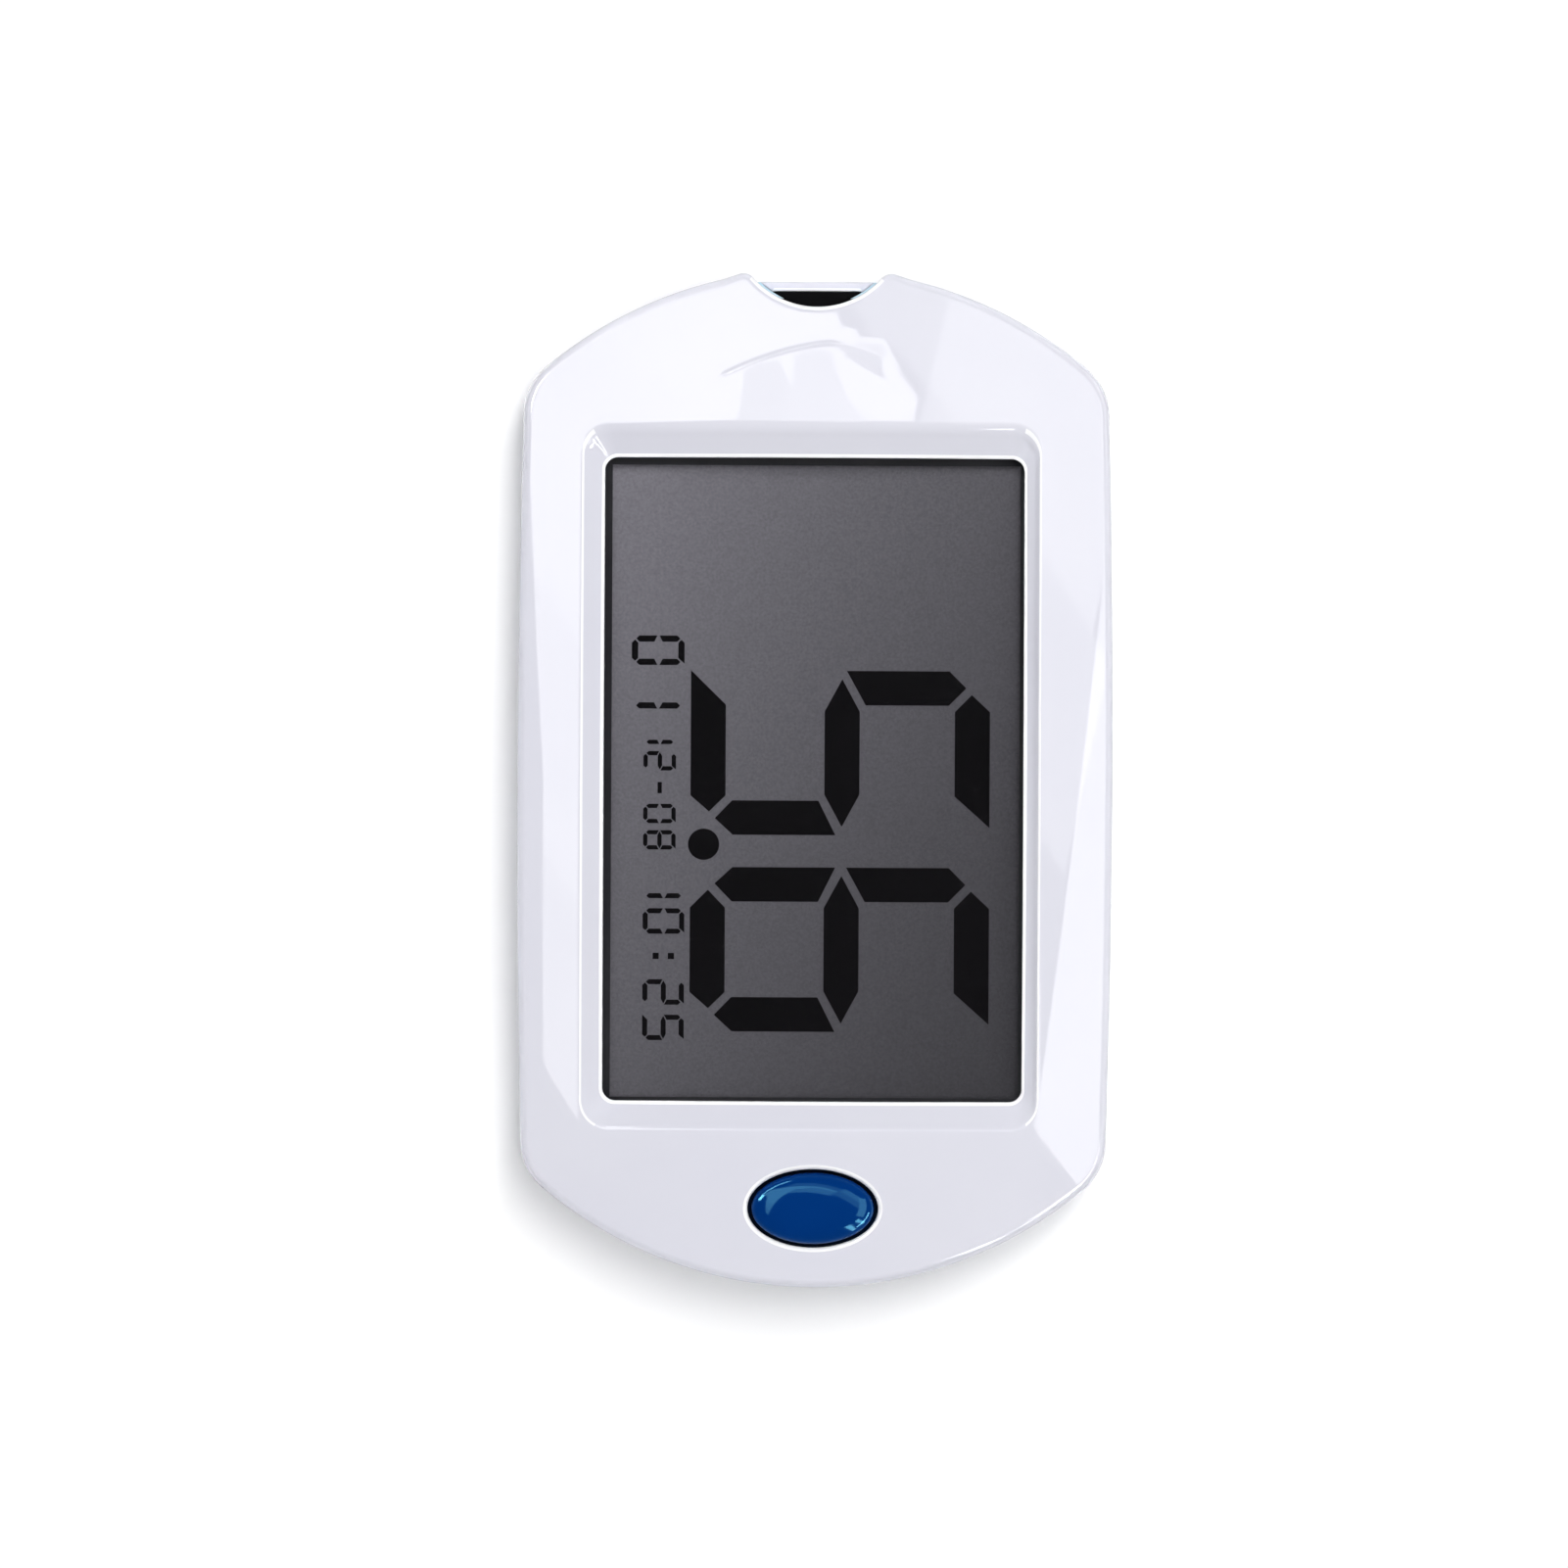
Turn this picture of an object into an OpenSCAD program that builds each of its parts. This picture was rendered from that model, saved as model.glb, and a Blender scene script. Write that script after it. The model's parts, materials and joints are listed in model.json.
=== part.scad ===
// Hand-held blood glucose meter with a large seven-segment display,
// a test-strip port in its top end and one thumb button below the display.
// Frame: +Y points at the strip port, +Z out of the display, Z = 0 is the
// plane the rubber feet stand on, and the origin is the middle of the base.

/* [Body] */
// Width of the body across the middle of its sides
body_w = 58.9; // [58.4:0.1:60]
// How far the sides bow out between the corners
side_bow = 0.45; // [0.3:0.05:0.6]
// Distance between the tips of the two curved ends, before the port is cut
body_l = 100.5; // [99.6:0.1:101]
// Height from the feet to the highest point of the body
body_h = 18.2; // [18.2:0.1:19.2]
// Radius of the curved ends
end_r = 41.7; // [41:0.1:43]
// Radius of the four corners
corner_r = 6.5; // [6:0.1:7.5]
// Wall thickness of both housing halves
wall = 1.8; // [1.5:0.1:1.9]
// Height of the line where the housing halves meet
part_z = 8.5; // [8.5:0.1:8.6]

/* [Crown] */
// Radius of the crowned face across the width
crown_rx = 130; // [120:5:200]
// Radius of the crowned face along the length
crown_ry = 375; // [340:5:600]

/* [Display] */
// Window opening across the width
win_w = 41.2; // [40:0.2:42]
// Window opening along the length
win_l = 63.2; // [62:0.2:64]
// How far the window opening sits off the body's middle, along the length
win_shift = -0.15; // [-0.4:0.05:0.2]
// How far the window opening sits off the body's middle line, to the right
win_side = -0.15; // [-0.3:0.05:0.1]
// How far the outer edge of its surround sits off the body's middle line, to the right
bezel_side = -0.45; // [-0.5:0.05:0.1]
// Outer edge of the sloped window surround across the width
bezel_w = 44.8; // [44.4:0.2:46]
// Outer edge of the sloped window surround along the length
bezel_l = 68.8; // [68:0.2:69.2]
// Width of a large numeral
digit_w = 16.2; // [14:0.1:16.6]
// Height of a large numeral
digit_h = 29.5; // [26:0.1:30]
// Stroke of a large numeral
digit_t = 3.45; // [2.8:0.05:3.8]

/* [Strip port] */
// Radius of the scoop in the top end
scoop_r = 8.4; // [8:0.1:8.6]
// Width of the strip channel
strip_w = 7.2; // [6:0.1:7.2]
// Height of the strip channel
strip_gap = 0.8; // [0.6:0.1:0.9]

/* [Button] */
// Long axis of the oval button
button_l = 12; // [11:0.1:12.4]
// Short axis of the oval button
button_w = 7; // [6.4:0.1:7.2]
// Gap between the button and its hole
button_gap = 0.4; // [0.3:0.05:0.5]

/* [Battery] */
// Diameter of the coin cell
cell_d = 20; // [20:0.1:20.2]
// Thickness of the coin cell
cell_h = 3.2; // [2.5:0.1:3.2]
// Width of the sliding battery door
door_w = 24.5; // [23.5:0.1:24.5]
// Clearance beside the battery door
door_gap = 0.15; // [0.1:0.01:0.15]

/* [Hidden] */
$fn = 48;

foot_h = 0.6;                               // feet stand this far out of the back
hw = body_w / 2;
arc_c = body_l / 2 - end_r;                 // centre of each end arc from the middle
cx = hw - side_bow - corner_r;              // corner fillet centre, across
cy = arc_c + sqrt(pow(end_r - corner_r, 2) - cx * cx);   // corner fillet centre, along
turn = atan2(cx, cy - arc_c);               // angle where the corner meets the end arc
lean = 2 * side_bow / cy * 180 / PI;        // angle where the bowed side meets the corner
zt = body_h + pow(bezel_l / 2, 2) / (2 * crown_ry);      // crown height over the middle
scoop_y = body_l / 2 + 4.45;                // scoop axis
lip_y = body_l / 2 - 1.25;                  // flat outer face of the port lip
// where the scoop's wall meets the end arc: the body's last point towards +Y
sy = arc_c + (pow(scoop_y - arc_c, 2) + end_r * end_r - scoop_r * scoop_r) / (2 * (scoop_y - arc_c));
oy = (body_l / 2 - sy) / 2;                 // moves the base's middle onto the origin
lens_z = 14.7;                              // top of the display window
lcd_z = 13.2;                               // top of the liquid crystal cell
seg_z = 12.05;                              // plane of the segments
board_z = 8.6;                              // bottom of the circuit board
board_t = 1.2;
board_top = board_z + board_t;
boss = [19.5, 38.8];                        // housing screws
post_top = [13.5, 42.2];                    // board screws at the port end
post_low = [12.5, -42.2];                   // board screws at the button end
button_y = -42.2;
cell_y = -20;
cell_z = 2.3;
door_y = -8.2;                              // inner edge of the battery door
feet = [20.5, 30];

function arc(cx, cy, r, a0, a1, n) = [for (i = [0:n]) [cx + r * cos(a0 + (a1 - a0) * i / n), cy + r * sin(a0 + (a1 - a0) * i / n)]];
// one bowed side, s = 1 on the right going up, s = -1 on the left going down
function side(d, s) = [for (i = [1:9]) let (t = i / 5 - 1) [s * (hw - d - side_bow * t * t), s * cy * t]];
// body outline, moved inwards by d
function outline(d) = concat(
    arc(cx, cy, corner_r - d, lean, 90 - turn, 5),
    [for (i = [1:23]) let (a = 90 - turn + 2 * turn * i / 24) [(end_r - d) * cos(a), arc_c + (end_r - d) * sin(a)]],
    arc(-cx, cy, corner_r - d, 90 + turn, 180 - lean, 5),
    side(d, -1),
    arc(-cx, -cy, corner_r - d, 180 + lean, 270 - turn, 5),
    [for (i = [1:23]) let (a = 270 - turn + 2 * turn * i / 24) [(end_r - d) * cos(a), -arc_c + (end_r - d) * sin(a)]],
    arc(cx, -cy, corner_r - d, 270 + turn, 360 - lean, 5),
    side(d, 1));
function oval(a, b, n = 48) = [for (i = [0:n - 1]) [a * cos(360 * i / n), b * sin(360 * i / n)]];

module at() { translate([0, oy, 0]) children(); }
module box(x0, x1, y0, y1, z0, z1) { translate([x0, y0, z0]) cube([x1 - x0, y1 - y0, z1 - z0]); }
module mirror_x() { children(); mirror([1, 0, 0]) children(); }
module four(p) { for (sx = [-1, 1], sy = [-1, 1]) translate([sx * p[0], sy * p[1], 0]) children(); }

// closed solid through a stack of equal-length outlines: rings = [[z, points], ...]
module loft(rings) {
    n = len(rings[0][1]);
    m = len(rings);
    polyhedron(
        points = [for (r = rings) for (p = r[1]) [p[0], p[1], r[0]]],
        faces = concat(
            [[for (i = [0:n - 1]) i]],
            [for (k = [0:m - 2], i = [0:n - 1]) [k * n + i, (k + 1) * n + i, (k + 1) * n + (i + 1) % n, k * n + (i + 1) % n]],
            [[for (i = [n - 1:-1:0]) (m - 1) * n + i]]));
}

// barrel whose upper surface is the crowned face, lowered by d
module crown(d) {
    translate([0, 0, zt - crown_rx]) rotate([90, 0, 0]) rotate_extrude($fn = 360)
        polygon(concat([[0, -56]],
            [for (i = [-7:7]) let (y = i * 8) [crown_rx - d - (crown_ry - sqrt(crown_ry * crown_ry - y * y)), y]],
            [[0, 56]]));
}

// outer form of the back, with its rolled lower edge
module back_form() {
    loft([[foot_h, outline(2.6)], [foot_h + 0.35, outline(1.5)], [foot_h + 1.1, outline(0.6)],
          [foot_h + 2.3, outline(0.12)], [foot_h + 3.6, outline(0)], [part_z, outline(0)]]);
}

// sloped surround of the window: narrow rectangle below, wide above
module bezel_cut() {
    zi = lens_z + 0.6; zo = zi + 1.3;
    function r4(w, l, s, c) = [[w / 2 + s, l / 2 + c], [-w / 2 + s, l / 2 + c], [-w / 2 + s, -l / 2 + c], [w / 2 + s, -l / 2 + c]];
    loft([[lens_z - 0.5, r4(win_w, win_l, win_side, win_shift)], [zi, r4(win_w, win_l, win_side, win_shift)],
          [zo, r4(bezel_w, bezel_l, bezel_side, 0)], [zt + 2, r4(bezel_w, bezel_l, bezel_side, 0)]]);
}

module front_housing() {
    color([0.93, 0.93, 0.98]) at() difference() {
        union() {
            difference() {
                intersection() {
                    translate([0, 0, part_z]) linear_extrude(14) polygon(outline(0));
                    crown(0);
                }
                difference() {
                    intersection() {
                        translate([0, 0, part_z - 1]) linear_extrude(14) polygon(outline(wall));
                        crown(wall);
                    }
                    translate([0, scoop_y, 0]) cylinder(r = scoop_r + 1.8, h = 30);
                }
                // rebate that takes the rear housing's tongue
                difference() {
                    translate([0, 0, part_z - 1]) linear_extrude(1.8) polygon(outline(0.9));
                    box(-11, 11, 40, 60, 0, 20);
                }
            }
            // frame around the window, and the screw bosses and board posts
            intersection() {
                union() {
                    box(-24.5, 24.5, -35.4, 35.4, 13.4, 20);
                    translate([0, 0, part_z]) four(boss) cylinder(r = 3, h = 12);
                    translate([0, 0, board_top]) mirror_x() {
                        translate([post_top[0], post_top[1], 0]) cylinder(r = 2.2, h = 12);
                        translate([post_low[0], post_low[1], 0]) cylinder(r = 2.2, h = 12);
                    }
                }
                crown(0.6);
            }
        }
        bezel_cut();
        // seat of the display window
        box(-22.6, 22.6, -33.6, 33.6, 13, lens_z);
        // scoop over the strip port, bevelled at the face
        translate([0, scoop_y, part_z - 1]) cylinder(r = scoop_r, h = 14);
        translate([0, scoop_y, zt - 4.4]) cylinder(r1 = scoop_r - 0.4, r2 = scoop_r + 2, h = 2.4);
        // strip mouth, and the seat of the port guide
        box(-4.45, 4.45, 43, 49, part_z - 1, 12.1);
        box(-6.3, 6.3, 46.4, 48.45, part_z - 1, 11.8);
        // button hole
        translate([0, button_y, 0]) linear_extrude(25) polygon(oval(button_l / 2 + button_gap, button_w / 2 + button_gap));
        // pilot holes
        translate([0, 0, part_z - 1]) four(boss) cylinder(r = 1, h = 6);
        translate([0, 0, board_top - 1]) mirror_x() {
            translate([post_top[0], post_top[1], 0]) cylinder(r = 0.8, h = 4.5);
            translate([post_low[0], post_low[1], 0]) cylinder(r = 0.8, h = 4.5);
        }
    }
}

module rear_housing() {
    color([0.86, 0.87, 0.92]) at() difference() {
        union() {
            intersection() {
                difference() {
                    back_form();
                    translate([0, 0, foot_h + wall]) linear_extrude(20) polygon(outline(wall));
                }
                box(-40, 40, -60, lip_y, 0, 20);
            }
            // tongue along the parting line
            difference() {
                translate([0, 0, part_z - 0.5]) linear_extrude(1.2) difference() {
                    polygon(outline(0.95));
                    polygon(outline(wall + 0.4));
                }
                box(-11, 11, 40, 60, 0, 20);
            }
            // floor of the battery bay and its round chamber
            box(-14.4, 14.4, -47.2, -6.4, 2.2, 3.4);
            translate([0, cell_y, 2.2]) cylinder(r = 12, h = 4.7);
            // port end: wall behind the strip port, and the lip the strip slides over
            box(-7.5, 7.5, lip_y - 1.3, lip_y, 2.2, part_z);
            box(-5.3, 5.3, lip_y - 0.6, lip_y, part_z - 0.1, 10.9);
            box(-4.35, 4.35, lip_y - 0.9, lip_y, part_z - 0.1, 10.9);
            // screw bosses
            translate([0, 0, 2]) four(boss) cylinder(r = 3, h = part_z - 2);
        }
        // battery door pocket, open towards the button end, with its side grooves
        box(-door_w / 2 - door_gap, door_w / 2 + door_gap, -60, door_y + door_gap, 0, 2.25);
        box(-door_w / 2 - 1.05, door_w / 2 + 1.05, -60, door_y + door_gap, 1.25, 2.25);
        // chamber of the coin cell, and the slots of its contacts
        translate([0, cell_y, 2]) cylinder(d = cell_d + 0.7, h = 3.9);
        box(-2.7, 2.7, cell_y + 9.5, cell_y + 13, 5.4, 8);
        box(9.5, 10.95, cell_y - 3, cell_y + 3, 3.4, 8);
        // seats for the ends of the port guide
        mirror_x() box(4.4, 6.25, 46.4, 48.4, 7.5, 12);
        // screw holes with deep seats for the heads
        four(boss) { cylinder(r = 1.15, h = 10); translate([0, 0, -1]) cylinder(r = 2.1, h = 4.4); }
        // seats of the feet
        four(feet) translate([0, 0, -1]) cylinder(r = 3.6, h = 2.3);
        // plain sunk panel
        box(-17, 17, -2, 26, 0, foot_h + 0.2);
        // sound holes
        translate([-10.5, 33, 0]) { cylinder(r = 0.6, h = 4); for (a = [0:60:300]) rotate(a) translate([2.2, 0, 0]) cylinder(r = 0.6, h = 4); }
    }
}

module battery_door() {
    color([0.86, 0.87, 0.92]) at() union() {
        intersection() {
            back_form();
            union() {
                box(-door_w / 2, door_w / 2, -60, door_y, 0, 2.15);
                box(-door_w / 2 - 0.9, door_w / 2 + 0.9, -46, door_y, 1.35, 2.15);
            }
        }
        for (i = [0:4]) box(-5, 5, -43.4 + 2.2 * i, -42.4 + 2.2 * i, foot_h - 0.3, foot_h + 0.2);
    }
}

module display_window() { color([0.8, 0.85, 0.9, 0.4]) at() box(-22.5, 22.5, -33.5, 33.5, 13.5, lens_z); }

module ring4(x1, y1, x0, y0, z0, z1) {
    difference() {
        box(-x1, x1, -y1, y1, z0, z1);
        box(-x0, x0, -y0, y0, z0 - 1, z1 + 1);
    }
}

module dust_gasket() {
    color([0.08, 0.08, 0.1]) at() difference() {
        box(-22.4, 22.4, -33.4, 33.4, lcd_z, 13.5);
        translate([win_side, win_shift, 0]) box(-win_w / 2 + 0.7, win_w / 2 - 0.3, -win_l / 2 + 0.3, win_l / 2 - 0.65, 13, 14);
    }
}
module lcd_front_glass() { color([0.7, 0.72, 0.74, 0.5]) at() box(-23, 23, -34, 34, seg_z + 0.05, lcd_z); }
module lcd_rear_glass() { color([0.4, 0.4, 0.42]) at() box(-23, 23, -32.3, 32.3, 11, seg_z); }
module lcd_reflector() { color([0.75, 0.75, 0.76]) at() box(-22.8, 22.8, -32.1, 32.1, 10.9, 11); }

module lcd_frame() {
    color([0.9, 0.9, 0.9]) at() union() {
        ring4(24.8, 35.5, 23.1, 34.1, board_top, 13.1);
        mirror_x() box(21.2, 23.2, -31, 31, board_top, 10.9);
    }
}

module zebra_strips() { color([0.75, 0.55, 0.6]) at() for (s = [-1, 1]) translate([0, s * 33.2, 0]) box(-21, 21, -0.7, 0.7, board_top, seg_z + 0.05); }

// strokes of a numeral, drawn with u to the right and v up; w wide, h high, t the stroke
// p = 1 gives a stroke a pointed end there, p = 0 a full slanted one
module stroke_a(w, h, t) polygon([[0.67 * t, h - 0.52 * t], [1.16 * t, h], [w - 0.23 * t, h], [w - 1.12 * t, h - t], [1.16 * t, h - t]]);
module stroke_g(w, h, t) { m = 0.506 * h; polygon([[0.24 * t, m], [1.16 * t, m + t / 2], [w - 1.16 * t, m + t / 2], [w - 0.24 * t, m], [w - 1.16 * t, m - t / 2], [1.16 * t, m - t / 2]]); }
module stroke_f(w, h, t) { m = 0.506 * h; polygon([[0, m + 0.13 * t], [0, h - 1.16 * t], [0.48 * t, h - 0.68 * t], [0.98 * t, h - 1.18 * t], [0.98 * t, m + 0.67 * t]]); }
module stroke_b(w, h, t) translate([w, 0]) mirror([1, 0]) stroke_f(w, h, t);
module stroke_e(w, h, t) { m = 0.506 * h; polygon([[0.47 * t, 0.7 * t], [0, 1.21 * t], [0, m - 0.18 * t], [0.98 * t, m - 0.67 * t], [0.98 * t, 1.19 * t]]); }
module stroke_c(w, h, t) translate([w, 0]) mirror([1, 0]) stroke_e(w, h, t);
module stroke_d(w, h, t, p) polygon(concat(p ? [[1.16 * t, 0], [0.65 * t, 0.51 * t], [1.16 * t, t]] : [[0, 0], [0.98 * t, t]],
    [[w - 1.12 * t, t], [w - 0.66 * t, 0.53 * t], [w - 1.12 * t, 0]]));
// strokes lit for each of the ten figures
LIT = ["abcdef", "bc", "abged", "abgcd", "fgbc", "afgcd", "afgcde", "abc", "abcdefg", "abcdfg"];
module figure(n, w, h, t) {
    for (s = LIT[n]) {
        if (s == "a") stroke_a(w, h, t);
        if (s == "b") stroke_b(w, h, t);
        if (s == "c") stroke_c(w, h, t);
        if (s == "d") stroke_d(w, h, t, len([for (e = LIT[n]) if (e == "e") 1]) > 0);
        if (s == "e") stroke_e(w, h, t);
        if (s == "f") stroke_f(w, h, t);
        if (s == "g") stroke_g(w, h, t);
    }
}
// a figure whose foot is at x0 and whose left edge is at y0; the text runs towards -Y
module place(x0, y0) translate([x0, y0]) rotate(-90) mirror([0, 0]) children();

module lcd_segments() {
    sw = 2.9; sh = 5.2; st = 0.62;
    color([0.06, 0.06, 0.08]) at() translate([0, 0, seg_z]) linear_extrude(0.05) {
        place(-12.25, 10.6) figure(5, digit_w, digit_h, digit_t);
        place(-12.25, -8.8) figure(6, digit_w, digit_h, digit_t);
        translate([-10.93, -6.56]) circle(r = 1.54);
        // day counter, then a date and a time in small figures
        place(-18.1, 14) figure(0, sw, sh, st);
        place(-18.1, 9.7) figure(1, sw, sh, st);
        for (k = [[1, 0], [2, 1], [0, 3], [8, 4]]) place(-16.9, 5.2 - k[1] * 2.6) figure(k[0], 1.9, 3.2, 0.42);
        place(-16.9, 5.2 - 2 * 2.6) translate([0.45, 1.4]) square([1.1, 0.42]);
        for (k = [[1, 0], [0, 1], [2, 3], [5, 4]]) place(-16.9, -9.4 - k[1] * 3.5) figure(k[0], 2.5, 4.1, 0.5);
        place(-16.9, -9.4 - 2 * 3.5 - 0.9) { translate([0, 1]) square(0.6); translate([0, 2.5]) square(0.6); }
    }
}

module circuit_board() {
    color([0.1, 0.4, 0.2]) at() translate([0, 0, board_z]) difference() {
        linear_extrude(board_t) intersection() { polygon(outline(3.2)); translate([-40, -60]) square([80, 106.4]); }
        translate([0, 0, -1]) four(boss) cylinder(r = 3.3, h = 4);
        translate([0, scoop_y, -1]) cylinder(r = scoop_r + 2.1, h = 4);
        translate([0, 0, -1]) mirror_x() {
            translate([post_top[0], post_top[1], 0]) cylinder(r = 0.95, h = 4);
            translate([post_low[0], post_low[1], 0]) cylinder(r = 0.95, h = 4);
        }
    }
}

module processor_chip() {
    color([0.12, 0.12, 0.13]) at() {
        box(-5, 5, 7, 17, 7.2, board_z - 0.1);
        for (s = [-1, 1], i = [0:8]) {
            translate([s * 5.6, 8 + i, 0]) box(-0.6, 0.6, -0.15, 0.15, board_z - 0.3, board_z);
            translate([-4 + i, 12 + s * 5.6, 0]) box(-0.15, 0.15, -0.6, 0.6, board_z - 0.3, board_z);
        }
    }
}
module memory_chip() { color([0.14, 0.14, 0.15]) at() { box(10, 15, 8, 12.4, 7.4, board_z - 0.1); for (i = [0:3]) translate([10.8 + i * 1.1, 0, 0]) { box(0, 0.4, 7.2, 8.3, board_z - 0.3, board_z); box(0, 0.4, 12.1, 13.2, board_z - 0.3, board_z); } } }
module crystal_oscillator() { color([0.75, 0.75, 0.78]) at() translate([-11.5, 8, board_z - 1.6]) rotate([-90, 0, 0]) cylinder(r = 1.5, h = 8); }
module buzzer() { color([0.1, 0.1, 0.1]) at() difference() { box(-15, -6, 28.5, 37.5, 5.2, board_z); translate([-10.5, 33, 4]) cylinder(r = 1, h = 2); } }
module temperature_sensor() { color([0.2, 0.2, 0.22]) at() box(7.6, 9.2, 40.6, 41.4, board_top, board_top + 0.6); }
module chip_resistors() { color([0.1, 0.1, 0.12]) at() for (i = [0:5]) box(10.2, 11.8, 15.5 + i * 1.8, 16.3 + i * 1.8, board_z - 0.5, board_z); }
module chip_capacitors() { color([0.7, 0.6, 0.45]) at() for (i = [0:4]) box(-14 + i * 2.4, -12 + i * 2.4, 20.4, 21.6, board_z - 0.9, board_z); }

module button() {
    a = button_l / 2; b = button_w / 2; z = 17;
    color([0, 0.25, 0.5]) at() translate([0, button_y, 0]) union() {
        loft([for (k = [[14.5, 1, 1], [z, 1, 1], [z + 0.22, 0.985, 0.975], [z + 0.42, 0.95, 0.92], [z + 0.6, 0.88, 0.83], [z + 0.76, 0.77, 0.7], [z + 0.88, 0.62, 0.54], [z + 0.96, 0.42, 0.36], [z + 1, 0.18, 0.15]])
            [k[0], oval(a * k[1], b * k[2])]]);
        translate([0, 0, 13.9]) linear_extrude(0.8) polygon(oval(a + 0.9, b + 0.8));
    }
}
module switch_plunger() { color([0.9, 0.85, 0.3]) at() translate([0, button_y, 11.6]) cylinder(r = 1.75, h = 2.3); }
module button_switch() {
    color([0.2, 0.2, 0.22]) at() translate([0, button_y, 0]) difference() {
        union() {
            box(-3, 3, -3, 3, board_top, 12.6);
            for (s = [-1, 1], t = [-1, 1]) translate([s * 3.4, t * 2.2, 0]) box(-0.5, 0.5, -0.4, 0.4, board_top, board_top + 0.2);
        }
        translate([0, 0, 11]) cylinder(r = 1.8, h = 4);
    }
}

module strip_connector() {
    color([0.05, 0.05, 0.06]) at() difference() {
        union() {
            box(-5.2, 5.2, 36.6, 44.4, board_top, 12);
            box(-4.35, 4.35, 44.3, 46.2, board_top, 12);
            box(-4.35, 4.35, 46, lip_y - 0.95, board_top, 10.7);
        }
        box(-strip_w / 2, strip_w / 2, 38, 50, 10.7, 10.7 + strip_gap);
        for (i = [-2:2]) box(i * 1.4 - 0.35, i * 1.4 + 0.35, 38.2, 43.6, board_top - 1, 10.8);
    }
}
module strip_contacts() {
    color([0.85, 0.65, 0.2]) at() for (i = [-2:2]) {
        box(i * 1.4 - 0.25, i * 1.4 + 0.25, 38.4, 43.4, board_top, board_top + 0.25);
        box(i * 1.4 - 0.25, i * 1.4 + 0.25, 40.4, 42, board_top + 0.25, 10.95);
    }
}
module port_guide() {
    color([0.55, 0.8, 0.95, 0.7]) at() union() {
        box(-6.2, 6.2, 46.5, 47.6, 7.6, 9.7);
        mirror_x() box(4.45, 6.2, 46.5, 48.35, 7.6, 11.7);
    }
}

module coin_cell() {
    color([0.8, 0.8, 0.82]) at() translate([0, cell_y, cell_z]) union() {
        cylinder(d = cell_d, h = cell_h - 0.6);
        cylinder(d = cell_d - 2.2, h = cell_h);
    }
}
module battery_contact_negative() {
    zc = cell_z + cell_h;
    color([0.8, 0.6, 0.3]) at() { box(-2.4, 2.4, cell_y - 6, cell_y + 11.6, zc, zc + 0.2); box(-2.4, 2.4, cell_y + 11.4, cell_y + 11.6, zc + 0.1, board_z); }
}
module battery_contact_positive() {
    color([0.8, 0.6, 0.3]) at() { box(cell_d / 2 + 0.02, cell_d / 2 + 0.22, cell_y - 2.5, cell_y + 2.5, 3.6, 6.8); box(cell_d / 2 + 0.02, cell_d / 2 + 0.22, cell_y - 1, cell_y + 1, 6.7, board_z); }
}

module housing_screws() {
    color([0.7, 0.7, 0.72]) at() four(boss) difference() {
        union() { translate([0, 0, 1.9]) cylinder(r = 1.95, h = 1.5); cylinder_shank(3.3, 13, 1); }
        translate([0, 0, 1]) { box(-1.1, 1.1, -0.25, 0.25, 0, 1.7); box(-0.25, 0.25, -1.1, 1.1, 0, 1.7); }
    }
}
module cylinder_shank(z0, z1, r) { translate([0, 0, z0]) cylinder(r = r, h = z1 - z0); }
module board_screws() {
    color([0.7, 0.7, 0.72]) at() mirror_x() for (p = [post_top, post_low]) translate([p[0], p[1], 0]) difference() {
        union() { translate([0, 0, board_z - 1]) cylinder(r = 1.6, h = 1); cylinder_shank(board_z - 0.1, 12.8, 0.8); }
        translate([0, 0, board_z - 2]) { box(-0.9, 0.9, -0.2, 0.2, 0, 1.5); box(-0.2, 0.2, -0.9, 0.9, 0, 1.5); }
    }
}
module rubber_feet() {
    color([0.25, 0.26, 0.3]) at() four(feet) union() {
        translate([0, 0, 0.3]) cylinder(r = 3.5, h = 1);
        cylinder(r1 = 3.2, r2 = 3.5, h = 0.3);
    }
}

front_housing();
rear_housing();
battery_door();
display_window();
dust_gasket();
lcd_front_glass();
lcd_segments();
lcd_rear_glass();
lcd_reflector();
lcd_frame();
zebra_strips();
circuit_board();
processor_chip();
memory_chip();
crystal_oscillator();
buzzer();
temperature_sensor();
chip_resistors();
chip_capacitors();
button();
switch_plunger();
button_switch();
strip_connector();
strip_contacts();
port_guide();
coin_cell();
battery_contact_negative();
battery_contact_positive();
housing_screws();
board_screws();
rubber_feet();
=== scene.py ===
import json
import math

import bpy
import bmesh
import numpy as np
from mathutils import Matrix, Vector
from mathutils.geometry import delaunay_2d_cdt


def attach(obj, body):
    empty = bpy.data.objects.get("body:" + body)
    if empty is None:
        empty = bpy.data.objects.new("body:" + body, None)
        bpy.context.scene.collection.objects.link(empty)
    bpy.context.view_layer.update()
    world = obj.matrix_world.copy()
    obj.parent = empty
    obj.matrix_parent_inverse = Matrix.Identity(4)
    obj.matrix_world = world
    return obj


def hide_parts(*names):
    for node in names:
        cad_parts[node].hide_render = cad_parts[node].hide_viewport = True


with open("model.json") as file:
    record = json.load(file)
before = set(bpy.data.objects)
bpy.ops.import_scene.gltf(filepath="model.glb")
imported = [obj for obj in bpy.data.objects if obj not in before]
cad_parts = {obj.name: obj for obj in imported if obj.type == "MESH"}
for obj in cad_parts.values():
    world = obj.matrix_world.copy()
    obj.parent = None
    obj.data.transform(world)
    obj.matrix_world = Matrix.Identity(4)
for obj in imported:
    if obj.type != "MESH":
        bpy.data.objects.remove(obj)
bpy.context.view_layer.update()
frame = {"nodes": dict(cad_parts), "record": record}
NODE = frame["nodes"]

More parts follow.
